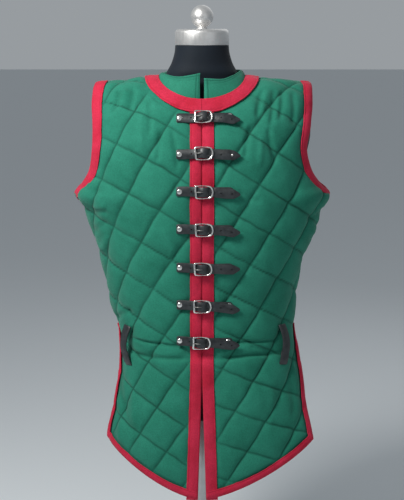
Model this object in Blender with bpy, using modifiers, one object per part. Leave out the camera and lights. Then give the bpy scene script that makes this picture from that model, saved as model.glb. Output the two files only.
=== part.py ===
"""A sleeveless quilted gambeson, buckled down the front, on a limbless dress form.

Metres, +Z up, the front faces -Y. The origin is under the middle of the stand's base.
Left and right are as seen from the front: left is -X.

The cloth follows one surface. A row number runs up the table of sections, from the hem to the
shoulder seam, and an angle runs round each section, from the middle of the front or back (0)
to the side (90 degrees). Each half panel is a grid on that surface, whose lines follow the
seams and the inner edges of the bindings, so a binding is the panel's own cells moved out."""

import math
from collections import namedtuple

import bmesh
import bpy
import numpy as np
from mathutils import Matrix, Vector

# ---------------------------------------------------------------- driving sizes
CLOTH_WALL = 0.007  # quilted cloth: two layers and their padding
COLLAR_WALL = 0.005
BAND_WALL = 0.0012  # red binding
GAP = 0.0003  # between neighbours
BAND_GAP = 0.0005  # from a panel to what lies on it

Section = namedtuple("Section", "z left right front back open")
SECTIONS = (
    # z at the middle; half widths at the side edges; depths in front and behind;
    # share of the depth that the side edge stays away from the side seam
    Section(0.180, 0.180, 0.221, 0.138, 0.122, 0.10),
    Section(0.285, 0.180, 0.212, 0.137, 0.120, 0.08),
    Section(0.350, 0.166, 0.197, 0.133, 0.115, 0.06),
    Section(0.415, 0.155, 0.187, 0.128, 0.109, 0.04),
    Section(0.445, 0.1525, 0.181, 0.126, 0.106, 0.02),
    Section(0.463, 0.153, 0.178, 0.119, 0.101, 0.01),
    Section(0.497, 0.157, 0.172, 0.122, 0.104, 0.00),
    Section(0.555, 0.174, 0.176, 0.121, 0.105, 0.00),
    Section(0.616, 0.187, 0.188, 0.126, 0.112, 0.00),
    Section(0.673, 0.203, 0.207, 0.131, 0.118, 0.00),
    Section(0.715, 0.218, 0.221, 0.133, 0.121, 0.00),
    Section(0.744, 0.235, 0.236, 0.134, 0.122, 0.00),
    Section(0.765, 0.221, 0.218, 0.134, 0.122, 0.30),
    Section(0.795, 0.204, 0.198, 0.132, 0.121, 0.48),
    Section(0.830, 0.199, 0.190, 0.127, 0.119, 0.55),
    Section(0.870, 0.198, 0.196, 0.114, 0.112, 0.55),
    Section(0.905, 0.200, 0.200, 0.096, 0.098, 0.52),
    Section(0.930, 0.200, 0.201, 0.075, 0.080, 0.50),
    Section(0.948, 0.199, 0.2015, 0.050, 0.055, 0.47),
    Section(0.957, 0.197, 0.201, 0.028, 0.030, 0.45),
    Section(0.9605, 0.196, 0.200, 0.000, 0.000, 0.45),
)
ROUNDNESS = 2.3  # exponent of the sections: 2 is an ellipse, more is squarer
ROW_VENT, ROW_ARMPIT, ROW_TOP = 6.0, 11.0, float(len(SECTIONS) - 1)
SHOULDER_DROP, DROP_FROM_Z = 0.016, 0.830  # the shoulder line falls towards its tip

WING = {(-1, -1): 0.22, (1, -1): 0.42, (-1, 1): 0.10, (1, 1): 0.12}  # flare of each skirt's side

HEM_MIDDLE_Z = 0.1945
HEM_RISE, HEM_POWER = {-1: 0.097, 1: 0.100}, {-1: 1.50, 1: 1.42}  # the hem climbs to its corners
SLIT_TOP_Z, SLIT_HALF = 0.425, 0.0075  # the front falls open below the last strap

EDGE_BAND, ARM_BAND, VENT_BAND, HEM_BAND = 0.021, {-1: 0.0225, 1: 0.0185}, 0.014, 0.016  # widths
NECK_HALF, NECK_OUTER_HALF = 0.079, 0.104  # half widths of the neck binding's two edges
NECK_FALL = {-1: (0.041, 0.064), 1: (0.017, 0.0355)}  # front, back: how low both edges dip
NECK_POWER = {-1: (1.30, 1.45), 1: (1.0, 1.0)}  # how pointed the dip is
NECK_TURNS = (90, 74, 58, 42, 27, 13, 0)  # degrees from the shoulder to the middle
ARM_ROWS = (11, 11.35, 11.9, 12.8, 14, 15.2, 16.2, 17.2, 18.2, 19.2, 20)  # lines across its binding
SKIRT_SHARES = (0.19, 0.34, 0.50, 0.66, 0.825, 0.888, 1.0)  # grid lines from hem to vent top
CELLS = {"skirt": len(SKIRT_SHARES), "waist": 5, "chest": 4, "across": 6}

COLLAR_TOP_HALF, COLLAR_TOP_DEPTH = 0.0725, {-1: 0.0715, 1: 0.065}
COLLAR_STOPS = (0.0, 0.28, 0.53, 0.80, 1.0)  # shares of the way from the middle to the side
COLLAR_TOP_Z = {
    (-1, -1): (0.9670, 0.9630, 0.9605, 0.9620, 0.9655),
    (1, -1): (0.9580, 0.9565, 0.9562, 0.9630, 0.9700),
    (-1, 1): (0.9700, 0.9700, 0.9695, 0.9680, 0.9655),
    (1, 1): (0.9700, 0.9700, 0.9700, 0.9700, 0.9700),
}
COLLAR_HALF_GAP = 0.0045

# ---------------------------------------------------------------- straps and buckles
Strap = namedtuple("Strap", "z shift start droop chape rivet_x")
STRAPS = (
    # height of the buckle and its sideways shift; how far the riveted end lies above it and the
    # tip below it; how far the chape's end lies above it; where a chape's rivet shows
    Strap(0.8870, 0.0024, -0.0008, 0.0050, 0.0014, 0.0490),
    Strap(0.8262, 0.0032, -0.0012, 0.0040, -0.0010, 0.0520),
    Strap(0.7600, 0.0034, 0.0004, 0.0044, 0.0000, None),
    Strap(0.6930, 0.0036, 0.0008, 0.0048, -0.0004, None),
    Strap(0.6225, 0.0016, 0.0014, 0.0012, 0.0006, None),
    Strap(0.5530, 0.0004, 0.0020, 0.0076, -0.0014, 0.0485),
    Strap(0.4870, -0.0010, 0.0022, 0.0060, -0.0008, 0.0465),
)
STRAP_WIDTH, STRAP_WALL = 0.0175, 0.0018
Station = namedtuple("Station", "x out width moves")
BILLET = (
    # x along the garment; height of the strap's middle over the panel; width; share of the shift
    Station(-0.0450, 0.0034, 0.0155, 0.0),
    Station(-0.0435, 0.0034, 0.0175, 0.0),
    Station(-0.0300, 0.0034, 0.0175, 0.0),
    Station(-0.0200, 0.0040, 0.0175, 1.0),
    Station(-0.0120, 0.0058, 0.0175, 1.0),
    Station(-0.0060, 0.0108, 0.0175, 1.0),
    Station(0.0000, 0.0122, 0.0175, 1.0),
    Station(0.0050, 0.0110, 0.0175, 1.0),
    Station(0.0096, 0.0064, 0.0175, 1.0),
    Station(0.0180, 0.0062, 0.0175, 1.0),
    Station(0.0300, 0.0068, 0.0175, 0.0),
    Station(0.0420, 0.0080, 0.0175, 0.0),
    Station(0.0540, 0.0080, 0.0175, 0.0),
    Station(0.0665, 0.0072, 0.0030, 0.0),
)
DROOP_FROM = 0.0115  # the billet hangs down past the buckle
CHAPE_END = 0.0540
BAR_OUT, BAR_RADIUS, CHAPE_EYE = 0.0066, 0.0012, 0.0031
CHAPE_LOW = BAR_OUT - CHAPE_EYE
BUCKLE_HALF_WIDTH, BUCKLE_HALF_HEIGHT, BUCKLE_WIRE = 0.0142, 0.0109, 0.0014
BUCKLE_OUT, PRONG_WIRE = 0.0094, 0.0009
RIVET_RADIUS, RIVET_X, RIVET_RISE = 0.0050, -0.0395, 0.5  # rise: its height over its radius
HIDDEN_RIVET_RISE = 0.34
STUD, STUD_RADIUS = 2, 0.0021  # the strap whose tip has a small stud of its own

Loop = namedtuple("Loop", "name side x top bottom proud")
BELT_LOOPS = (
    Loop("belt_loop_left", -1, 0.1325, 0.507, 0.434, 0.0120),
    Loop("belt_loop_right", 1, 0.1450, 0.509, 0.438, 0.0110),
)
LOOP_WIDTH, LOOP_WALL = 0.018, 0.0025

# ---------------------------------------------------------------- dress form and stand
Ring = namedtuple("Ring", "z half front back")
FORM_RINGS = (
    Ring(0.331, 0.138, 0.092, 0.084),
    Ring(0.400, 0.137, 0.096, 0.084),
    Ring(0.470, 0.130, 0.094, 0.080),
    Ring(0.530, 0.136, 0.098, 0.083),
    Ring(0.600, 0.148, 0.104, 0.090),
    Ring(0.680, 0.160, 0.110, 0.099),
    Ring(0.750, 0.174, 0.113, 0.102),
    Ring(0.800, 0.188, 0.108, 0.101),
    Ring(0.845, 0.199, 0.099, 0.096),
    Ring(0.880, 0.199, 0.088, 0.088),
    Ring(0.910, 0.193, 0.074, 0.077),
    Ring(0.926, 0.170, 0.060, 0.062),
    Ring(0.935, 0.140, 0.054, 0.054),
    Ring(0.941, 0.098, 0.051, 0.050),
    Ring(0.946, 0.080, 0.051, 0.050),
    Ring(0.955, 0.070, 0.051, 0.050),
    Ring(0.967, 0.0640, 0.053, 0.051),
    Ring(0.982, 0.0560, 0.051, 0.050),
    Ring(1.000, 0.0505, 0.050, 0.050),
    Ring(1.0142, 0.0490, 0.049, 0.049),
)
FORM_ROUNDNESS, FORM_SIDES = 2.2, 36
CAP_RADIUS, CAP_LOW, CAP_HIGH, CAP_EDGE = 0.0495, 1.0145, 1.0435, 0.007
BALL_RADIUS, BALL_Z, STEM_RADIUS = 0.0208, 1.0662, 0.0085
POLE_RADIUS, POLE_LOW, POLE_HIGH = 0.016, 0.0283, 0.3307
BASE_RADIUS, BASE_HEIGHT, BASE_EDGE = 0.165, 0.028, 0.006

# ---------------------------------------------------------------- materials
Finish = namedtuple("Finish", "colour roughness metallic")
FINISHES = {
    "green_cotton": Finish((0.020, 0.165, 0.105), 0.85, 0.0),
    "red_binding": Finish((0.620, 0.030, 0.065), 0.75, 0.0),
    "black_leather": Finish((0.022, 0.024, 0.028), 0.45, 0.0),
    "nickel": Finish((0.780, 0.770, 0.740), 0.22, 1.0),
    "form_cover": Finish((0.018, 0.018, 0.022), 0.70, 0.0),
    "stand_metal": Finish((0.480, 0.480, 0.480), 0.30, 1.0),
}


def material(name):
    """The named finish as a Principled material, made once."""
    found = bpy.data.materials.get(name)
    if found:
        return found
    made = bpy.data.materials.new(name)
    made.use_nodes = True
    shader = made.node_tree.nodes["Principled BSDF"]
    finish = FINISHES[name]
    shader.inputs["Base Color"].default_value = (*finish.colour, 1.0)
    shader.inputs["Roughness"].default_value = finish.roughness
    shader.inputs["Metallic"].default_value = finish.metallic
    return made


def add_object(name, mesh, finish):
    """A named object of the part, with its material."""
    made = bpy.data.objects.new(name, mesh)
    mesh.materials.append(material(finish))
    bpy.data.collections["gambeson_on_dress_form"].objects.link(made)
    return made


# ---------------------------------------------------------------- the cloth's surface
def section_at(row):
    """The section at a fractional row: a Catmull-Rom curve through the table."""
    last = len(SECTIONS) - 1
    row = min(max(row, 0.0), float(last))
    low = min(int(row), last - 1)
    t = row - low
    a, b, c, d = (np.array(SECTIONS[min(max(low + k, 0), last)]) for k in (-1, 0, 1, 2))
    bend = (2 * a - 5 * b + 4 * c - d) * t**2 + (3 * b - a - 3 * c + d) * t**3
    return Section(*(0.5 * (2 * b + (c - a) * t + bend)).tolist())


FINE_ROWS = np.linspace(0.0, ROW_TOP, 4001)
FINE_HEIGHTS = np.array([section_at(row).z for row in FINE_ROWS])


def row_at_height(z):
    """The row whose middle is at height z."""
    return float(np.interp(z, FINE_HEIGHTS, FINE_ROWS))


def full_width(section, side):
    """The half width that the section would have at y = 0, past its open side."""
    half = section.left if side < 0 else section.right
    return half / (1 - max(section.open, 0.0) ** ROUNDNESS) ** (1 / ROUNDNESS)


def side_angle(row):
    """The angle at which a panel ends at its side edge."""
    return math.acos(max(section_at(row).open, 0.0) ** (ROUNDNESS / 2))


def flare(side, face, z):
    """The share of the angle that a section keeps where the open skirt flares."""
    vent_z = SECTIONS[int(ROW_VENT)].z
    fall = min(max((vent_z - z) / (vent_z - HEM_MIDDLE_Z), 0.0), 1.0)
    return 1 - WING[side, face] * fall**0.6


def spread(side, face, angle, z):
    """How far across, from 0 to 1, and how far from the middle plane a section is at an angle."""
    kept = flare(side, face, z)
    across = (math.sin(angle * kept) / math.sin(math.pi / 2 * kept)) ** (2 / ROUNDNESS)
    return across, max(math.cos(angle * kept), 0.0) ** (2 / ROUNDNESS)


def angle_across(side, face, across, z):
    """The angle at which a section is a share across."""
    kept = flare(side, face, z)
    return math.asin(min(across, 1.0) ** (ROUNDNESS / 2) * math.sin(math.pi / 2 * kept)) / kept


def cloth_point(side, face, angle, row):
    """A point of the cloth's outer surface. side is -1 left, 1 right; face is -1 front, 1 back."""
    section = section_at(row)
    across, away = spread(side, face, angle, section.z)
    depth = max(section.front if face < 0 else section.back, 0.0)
    drop = SHOULDER_DROP * max(section.z - DROP_FROM_Z, 0.0) / (SECTIONS[-1].z - DROP_FROM_Z)
    return Vector(
        (side * full_width(section, side) * across, face * depth * away, section.z - drop * across**2)
    )


def place(side, face, x, z):
    """The angle and row of the surface's point at a sideways distance x and a height z."""
    aim, angle, row = z, 0.0, ROW_TOP
    for _ in range(8):
        row = row_at_height(aim)
        section = section_at(row)
        angle = angle_across(side, face, x / full_width(section, side), section.z)
        aim += z - cloth_point(side, face, angle, row).z
    return angle, row


def front_frame(x, z):
    """The front cloth's point at x and height z, its outward direction, and the way up along it."""
    side = -1 if x < 0 else 1
    angle, row = place(side, -1, abs(x), z)
    step = 0.002
    here = cloth_point(side, -1, angle, row)
    along = (cloth_point(side, -1, angle + step, row) - here) * side
    rise = cloth_point(side, -1, angle, row + step) - here
    outward = along.cross(rise).normalized()
    return here, outward, outward.cross(along).normalized()


def strap_pair(x, z, out, half):
    """The two edge points of a flat strap whose middle is moved out from the cloth."""
    here, outward, up = front_frame(x, z)
    return [here + outward * out - up * half, here + outward * out + up * half]


# ---------------------------------------------------------------- the panels' grid
def hem_height(side, across):
    return HEM_MIDDLE_Z + HEM_RISE[side] * across ** HEM_POWER[side]


def middle_gap(z, face):
    """How far a panel's middle edge stands from x = 0."""
    if face > 0:
        return 0.0
    fallen = max(SLIT_TOP_Z - z, 0.0) / (SLIT_TOP_Z - HEM_MIDDLE_Z)
    return GAP / 2 + SLIT_HALF * fallen


def neck_place(side, face, edge, turn):
    """The angle and row on the neck binding's inner (0) or outer (1) edge."""
    x = (NECK_HALF, NECK_OUTER_HALF)[edge] * math.cos(math.radians(turn))
    top = full_width(SECTIONS[-1], side)
    if turn == 0:
        return math.asin((x / top) ** (ROUNDNESS / 2)), ROW_TOP
    seam = SECTIONS[-1].z - SHOULDER_DROP * (x / top) ** 2
    x = max(x, middle_gap(1.0, face))
    fall = NECK_FALL[face][edge] * math.sin(math.radians(turn)) ** NECK_POWER[face][edge]
    return place(side, face, x, seam - fall)


def step_on(side, face, spot, direction, distance):
    """The angle and row reached from a spot by going a distance over the surface."""
    angle, row = spot
    steps, nudge = 6, 0.001
    for _ in range(steps):
        here = cloth_point(side, face, angle, row)
        round_it = (here - cloth_point(side, face, angle - nudge, row)) / nudge
        up_it = (here - cloth_point(side, face, angle, row - nudge)) / nudge
        moves = np.array([round_it, up_it]).T
        change = np.linalg.lstsq(moves, np.array(direction) * distance / steps, rcond=None)[0]
        angle, row = angle + change[0], row + change[1]
    return angle, row


def arm_edges(side, face):
    """Places along the armhole's edge and along its binding's inner edge, from armpit to shoulder."""
    edge = [(side_angle(row), float(row)) for row in ARM_ROWS]
    under = SECTIONS[int(ROW_ARMPIT)].z - ARM_BAND[side]
    inner = [(math.pi / 2, row_at_height(under))]
    for before, spot, after in zip(edge, edge[1:], edge[2:]):
        along = cloth_point(side, face, *after) - cloth_point(side, face, *before)
        here = cloth_point(side, face, *spot)
        lower = cloth_point(side, face, spot[0] - 0.05, spot[1]) - here
        inward = lower - along * lower.dot(along) / along.length_squared
        inner.append(step_on(side, face, spot, inward.normalized(), ARM_BAND[side]))
    tip = cloth_point(side, face, *edge[-1])
    across = (abs(tip.x) - ARM_BAND[side]) / full_width(SECTIONS[-1], side)
    inner.append((math.asin(across ** (ROUNDNESS / 2)), ROW_TOP))
    return edge, inner


def cell_lines(side, face):
    """The grid's lines: for each, its kind and the places that it runs between."""
    lines = [("skirt", 0.0), ("hem_band", HEM_BAND)]
    lines += [("skirt", share) for share in SKIRT_SHARES]
    inner = arm_edges(side, face)[1]
    under = inner[0][1]
    # the same for both sides, so that the back's halves share their points along the middle
    middle = row_at_height(SECTIONS[int(ROW_ARMPIT)].z - sum(ARM_BAND.values()) / 2)
    for k in range(1, CELLS["waist"] + 1):
        share = k / CELLS["waist"]
        row = ROW_VENT + (under - ROW_VENT) * share
        lines.append(("level", ROW_VENT + (middle - ROW_VENT) * share, (side_angle(row), row)))
    foot = neck_place(side, face, 1, NECK_TURNS[0])
    for k in range(1, CELLS["chest"] + 1):
        lines.append(("level", middle + (foot[1] - middle) * k / CELLS["chest"], inner[k]))
    for k, turn in enumerate(NECK_TURNS[1:], 1):
        lines.append(("neck", turn, inner[CELLS["chest"] + k]))
    return lines


def line_place(side, face, line, share):
    """The angle and row at a share (0 to 1) of the way along a grid line, from middle to side."""
    kind = line[0]
    if kind in ("skirt", "hem_band"):
        up = line[1] if kind == "skirt" else 0.0
        vent_z = SECTIONS[int(ROW_VENT)].z

        def height(across):
            low = hem_height(side, across)
            return low + (vent_z - low) * up if kind == "skirt" else low + line[1]

        start = place(side, face, middle_gap(height(0.0), face), height(0.0))[0]
        end = side_angle(1.0) + (side_angle(ROW_VENT) - side_angle(1.0)) * up
        angle = start + (end - start) * share
        z = height(math.sin(angle) ** (2 / ROUNDNESS))
        for _ in range(5):
            z = height(spread(side, face, angle, z)[0])
        return angle, row_at_height(z)
    if kind == "level":
        z = section_at(line[1]).z
        start = place(side, face, middle_gap(z, face), z)
    else:
        start = neck_place(side, face, 1, line[1])
    return tuple(a + (b - a) * share for a, b in zip(start, line[2]))


def spaced(side, face, line):
    """Points along a grid line: the front binding's width, even cells, the vent binding's width."""
    fine = 48
    course = [cloth_point(side, face, *line_place(side, face, line, k / fine)) for k in range(fine + 1)]
    run = [0.0]
    for a, b in zip(course, course[1:]):
        run.append(run[-1] + (b - a).length)
    inner = run[-1] - EDGE_BAND - VENT_BAND
    stops = [0.0] + [EDGE_BAND + inner * k / CELLS["across"] for k in range(CELLS["across"] + 1)] + [run[-1]]
    shares = np.interp(stops, run, np.linspace(0, 1, fine + 1))
    return [cloth_point(side, face, *line_place(side, face, line, share)) for share in shares]


def half_panel(side, face):
    """A half panel's cells as (zone, three corners), anticlockwise seen from outside."""
    grid = [spaced(side, face, line) for line in cell_lines(side, face)]
    arm_line = 1 + CELLS["skirt"] + CELLS["waist"]
    corner_line = arm_line + CELLS["chest"]
    last = len(grid[0]) - 2
    cells = []
    for i in range(len(grid) - 1):
        for j in range(last + 1):
            corners = [grid[i][j], grid[i][j + 1], grid[i + 1][j + 1], grid[i + 1][j]]
            if i == 0:
                zone = "hem"
            elif j == last and i <= CELLS["skirt"]:
                zone = "vent"
            elif j == 0 and i < corner_line:
                zone = "edge"
            else:
                zone = "field"
            cells.append((zone, corners))
    neck = [cloth_point(side, face, *neck_place(side, face, 0, turn)) for turn in NECK_TURNS]
    for k in range(len(NECK_TURNS) - 1):
        low, high = grid[corner_line + k][0], grid[corner_line + k + 1][0]
        cells.append(("neck", [low, high, neck[k + 1], neck[k]]))
    arm = [cloth_point(side, face, *spot) for spot in arm_edges(side, face)[0]]
    for k in range(len(ARM_ROWS) - 1):
        low, high = grid[arm_line + k][-1], grid[arm_line + k + 1][-1]
        cells.append(("arm", [low, arm[k], arm[k + 1], high]))
    if side * face > 0:
        cells = [(zone, corners[::-1]) for zone, corners in cells]
    return [(zone, half) for zone, (a, b, c, d) in cells for half in ([a, b, c], [a, c, d])], neck


def key(point):
    return tuple(round(c, 5) for c in point)


def outward_normals(halves):
    """The cloth's normal at each grid point, shared by panels that meet at a seam."""
    sums = {}
    for cells, _ in halves.values():
        for _, (a, b, c) in cells:
            normal = (b - a).cross(c - a)
            for corner in (a, b, c):
                sums.setdefault(key(corner), Vector((0, 0, 0)))
                sums[key(corner)] += normal
    for spot, normal in sums.items():
        if abs(spot[0]) < GAP:
            normal.x = 0.0
        normal.normalize()
    return sums


def wall(name, cells, normals, low, high, finish, shift=(0, 0, 0)):
    """A closed wall over some of the grid's cells, from low to high over the surface."""
    points, faces = {}, []
    for corners in cells:
        for corner in corners:
            points.setdefault(key(corner), (len(points), corner))
        faces.append([points[key(corner)][0] for corner in corners])
    shift = Vector(shift)
    count = len(points)
    places = [spot + normals[key(spot)] * high + shift for _, spot in points.values()]
    places += [spot + normals[key(spot)] * low + shift for _, spot in points.values()]
    edges = {(a, b) for face in faces for a, b in zip(face, face[1:] + face[:1])}
    spots = list(points)
    rim = []
    for a, b in sorted(edges):
        if (b, a) in edges:
            continue
        if spots[a] < spots[b]:  # neighbours cut their shared edge face along the same diagonal
            rim += [(b, a, a + count), (b, a + count, b + count)]
        else:
            rim += [(b, a, b + count), (a, a + count, b + count)]
    inner = [[n + count for n in reversed(face)] for face in faces]
    mesh = bpy.data.meshes.new(name)
    mesh.from_pydata(places, [], faces + inner + rim)
    mesh.validate()
    return add_object(name, mesh, finish)


# ---------------------------------------------------------------- cloth pieces
def make_panels(halves, normals):
    """The two fronts and the back, 0.3 mm apart at their seams."""
    for name, side in (("front_left", -1), ("front_right", 1)):
        cells = [corners for _, corners in halves[side, -1][0]]
        wall(name, cells, normals, -CLOTH_WALL, 0.0, "green_cotton", (0, -GAP / 2, 0))
    cells = [corners for side in (-1, 1) for _, corners in halves[side, 1][0]]
    wall("back_panel", cells, normals, -CLOTH_WALL, 0.0, "green_cotton", (0, GAP / 2, 0))


def zone_cells(halves, sides, faces, zones):
    """The corners of the cells in the given zones of the given half panels."""
    cells = [cell for side in sides for face in faces for cell in halves[side, face][0]]
    return [corners for zone, corners in cells if zone in zones]


def make_bands(halves, normals):
    """The red bindings, each made from the panels' own cells, moved out."""
    both = (-1, 1)
    for name, side in (("left", -1), ("right", 1)):
        pieces = {
            f"edge_band_{name}": ((side,), (-1,), ("edge",)),
            f"armhole_band_{name}": ((side,), both, ("arm",)),
            f"skirt_band_{name}": ((side,), (-1,), ("hem", "vent")),
        }
        for piece, chosen in pieces.items():
            shrink_and_wall(piece, zone_cells(halves, *chosen), normals)
    shrink_and_wall("skirt_band_back", zone_cells(halves, both, (1,), ("hem", "vent")), normals)
    shrink_and_wall("neck_band", zone_cells(halves, both, both, ("neck",)), normals)


def shrink_and_wall(name, cells, normals):
    """A binding over the given cells, drawn in at its rim so that it clears its neighbours."""
    made = wall(name, cells, normals, BAND_GAP, BAND_GAP + BAND_WALL, "red_binding")
    body = bmesh.new()
    body.from_mesh(made.data)
    skin = len(body.verts) // 2
    body.verts.ensure_lookup_table()
    inward = {}
    for face in body.faces:
        numbers = {v.index < skin for v in face.verts}
        if len(numbers) == 2:
            for vertex in face.verts:
                inward.setdefault(vertex.index, Vector((0, 0, 0)))
                inward[vertex.index] -= face.normal.normalized()
    for number, direction in inward.items():
        if direction.length > 0.2:
            body.verts[number].co += direction.normalized() * GAP
    body.to_mesh(made.data)
    body.free()


def make_collar(halves, normals):
    """The stand collar: it rises from the neckline and leans in towards the neck."""
    ring = [(halves[1, -1][1][k], 1, -1) for k in range(len(NECK_TURNS))]
    ring += [(halves[1, 1][1][-1 - k], 1, 1) for k in range(1, len(NECK_TURNS))]
    ring += [(halves[-1, 1][1][k], -1, 1) for k in range(1, len(NECK_TURNS))]
    ring += [(halves[-1, -1][1][-1 - k], -1, -1) for k in range(1, len(NECK_TURNS))]
    columns = []
    for base, side, face in ring:
        turn = math.atan2(base.y / COLLAR_TOP_DEPTH[face], base.x / COLLAR_TOP_HALF)
        if abs(base.x) < COLLAR_HALF_GAP and face < 0:
            base = Vector((math.copysign(COLLAR_HALF_GAP, base.x), base.y, base.z))
            turn = -math.acos(base.x / COLLAR_TOP_HALF)
        top_z = float(np.interp(abs(math.cos(turn)), COLLAR_STOPS, COLLAR_TOP_Z[side, face]))
        x, y = COLLAR_TOP_HALF * math.cos(turn), COLLAR_TOP_DEPTH[face] * math.sin(turn)
        top = Vector((x, y, top_z))
        lean = (top - base).normalized()
        columns.append([base + lean * GAP * 2, base + (top - base) * 0.5, top])
    mesh = bpy.data.meshes.new("collar")
    rows = len(columns[0])
    places = [point for column in columns for point in column]
    faces = [
        (i * rows + j, i * rows + j + 1, (i + 1) * rows + j + 1, (i + 1) * rows + j)
        for i in range(len(columns) - 1)
        for j in range(rows - 1)
    ]
    mesh.from_pydata(places, [], [face[::-1] for face in faces])
    made = add_object("collar", mesh, "green_cotton")
    solid = made.modifiers.new("wall", "SOLIDIFY")
    solid.thickness = COLLAR_WALL
    solid.offset = -1.0


# ---------------------------------------------------------------- leather and metal
def strip(name, stations, thickness, finish):
    """A flat strap through pairs of edge points, by Solidify on both sides of its middle."""
    mesh = bpy.data.meshes.new(name)
    places = [point for pair in stations for point in pair]
    faces = [(2 * k, 2 * k + 2, 2 * k + 3, 2 * k + 1) for k in range(len(stations) - 1)]
    mesh.from_pydata(places, [], faces)
    made = add_object(name, mesh, finish)
    solid = made.modifiers.new("thickness", "SOLIDIFY")
    solid.thickness = thickness
    solid.offset = 0.0
    return made


def strap_frame(z, shift):
    """The frame of a buckle near the front edge: x across, y up the garment, z outward."""
    here, outward, _ = front_frame(GAP, z)
    outward.x = 0.0
    outward.normalize()
    across = Vector((1, 0, 0))
    up = outward.cross(across)
    frame = Matrix((across, up, outward)).transposed().to_4x4()
    frame.translation = Vector((shift, here.y, here.z))
    return frame


def billet_pairs(strap):
    """The billet's edge points: over the buckle's bar, and drooping to its tip."""
    pairs = []
    for station in BILLET:
        fall = strap.droop * max(station.x - DROOP_FROM, 0.0) / (BILLET[-1].x - DROOP_FROM)
        rise = strap.start * min(max(-station.x / 0.03, 0.0), 1.0)
        x = station.x + strap.shift * station.moves
        pairs.append(strap_pair(x, strap.z + rise - fall, station.out, station.width / 2))
    return pairs


def chape_pairs(strap):
    """The chape's edge points: flat under the billet, then round the buckle's bar."""
    course = [(CHAPE_END, CHAPE_LOW), (0.040, CHAPE_LOW), (0.022, CHAPE_LOW)]
    course += [(0.008, CHAPE_LOW)]
    for degrees in (270, 225, 180, 135, 90, 50):
        turn = math.radians(degrees)
        course.append((CHAPE_EYE * math.cos(turn), BAR_OUT + CHAPE_EYE * math.sin(turn)))
    pairs = []
    for x, out in course:
        lift = strap.chape * min(max(x / CHAPE_END, 0.0), 1.0)
        half = STRAP_WIDTH / 2 - (0.002 if x >= CHAPE_END else 0.0)
        x += strap.shift * (x < 0.03)
        pairs.append(strap_pair(x, strap.z + lift, out, half))
    return pairs


def applied(made):
    """The object's mesh with its modifiers or its curve's bevel applied; the object is removed."""
    bpy.context.view_layer.update()
    seen = made.evaluated_get(bpy.context.evaluated_depsgraph_get())
    mesh = bpy.data.meshes.new_from_object(seen)
    bpy.data.objects.remove(made)
    return mesh


def wire(name, points, closed, radius):
    """The mesh of a round wire along a course of points."""
    curve = bpy.data.curves.new(name, "CURVE")
    curve.dimensions = "3D"
    curve.bevel_depth = radius
    curve.bevel_resolution = 2
    curve.use_fill_caps = True
    spline = curve.splines.new("POLY")
    spline.points.add(len(points) - 1)
    for point, place_at in zip(spline.points, points):
        point.co = (*place_at, 1.0)
    spline.use_cyclic_u = closed
    holder = bpy.data.objects.new(name + "_course", curve)
    bpy.context.scene.collection.objects.link(holder)
    mesh = applied(holder)
    body = bmesh.new()
    body.from_mesh(mesh)
    bmesh.ops.remove_doubles(body, verts=body.verts, dist=0.00001)
    bmesh.ops.recalc_face_normals(body, faces=body.faces)
    body.to_mesh(mesh)
    body.free()
    return mesh


def buckle_mesh():
    """A centre-bar buckle in its own frame: straight left bar, bowed right side, and its bar."""
    w, h = BUCKLE_HALF_WIDTH, BUCKLE_HALF_HEIGHT
    lift = BUCKLE_OUT
    ring = [(-w, -h * 0.8, lift), (-w, h * 0.8, lift), (-w * 0.8, h, lift), (0.0, h, lift - 0.0008)]
    for degrees in (70, 45, 15, -15, -45, -70):
        turn = math.radians(degrees)
        ring.append((w * 0.35 + w * 0.75 * math.cos(turn), h * math.sin(turn), lift))
    ring += [(0.0, -h, lift - 0.0008), (-w * 0.8, -h, lift)]
    frame = wire("buckle", ring, True, BUCKLE_WIRE)
    course = [(0.0, -h, lift - 0.0008), (0.0, -h * 0.86, BAR_OUT)]
    course += [(x, -y, z) for x, y, z in reversed(course)]
    bar = wire("bar", course, False, BAR_RADIUS)
    holder = bpy.data.objects.new("buckle_union", frame)
    cutter = bpy.data.objects.new("buckle_bar", bar)
    for made in (holder, cutter):
        bpy.data.collections["guides"].objects.link(made)
        made.hide_render = True
        made.display_type = "WIRE"
    join = holder.modifiers.new("join", "BOOLEAN")
    join.operation = "UNION"
    join.object = cutter
    mesh = applied(holder)
    bpy.data.objects.remove(cutter)
    mesh.shade_smooth()
    return mesh


def prong_mesh():
    """The prong in the buckle's frame: from above the bar to its rest on the left bar."""
    high = BUCKLE_OUT + BUCKLE_WIRE + PRONG_WIRE + GAP
    course = [(0.002, 0, high + 0.0022), (-0.004, 0, high + 0.0020), (-0.010, 0, high + 0.0003)]
    course.append((-BUCKLE_HALF_WIDTH - 0.002, 0, high))
    return wire("prong", course, False, PRONG_WIRE)


def turned(name, profile, steps, finish, location=(0, 0, 0)):
    """A turned solid: a profile of (radius, height) from the top axis to the bottom axis."""
    mesh = bpy.data.meshes.new(name)
    places = [(radius, 0.0, height) for radius, height in profile]
    mesh.from_pydata(places, [(k, k + 1) for k in range(len(places) - 1)], [])
    made = add_object(name, mesh, finish)
    made.location = location
    screw = made.modifiers.new("turn", "SCREW")
    screw.steps = screw.render_steps = steps
    screw.use_merge_vertices = True
    screw.merge_threshold = 0.00001
    return made


def make_rivet(name, radius, rise, x, z, out):
    """A domed rivet head, flat below, standing on a strap at x and z."""
    turns = [math.radians(degrees) for degrees in (0, 30, 60, 90)]
    dome = [(radius * math.sin(turn), radius * rise * math.cos(turn)) for turn in turns]
    made = turned(name, [*dome, (0.0, 0.0)], 14, "nickel")
    here, outward, _ = front_frame(x, z)
    made.rotation_mode = "QUATERNION"
    made.rotation_quaternion = Vector((0, 0, 1)).rotation_difference(outward)
    made.location = here + outward * out


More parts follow.
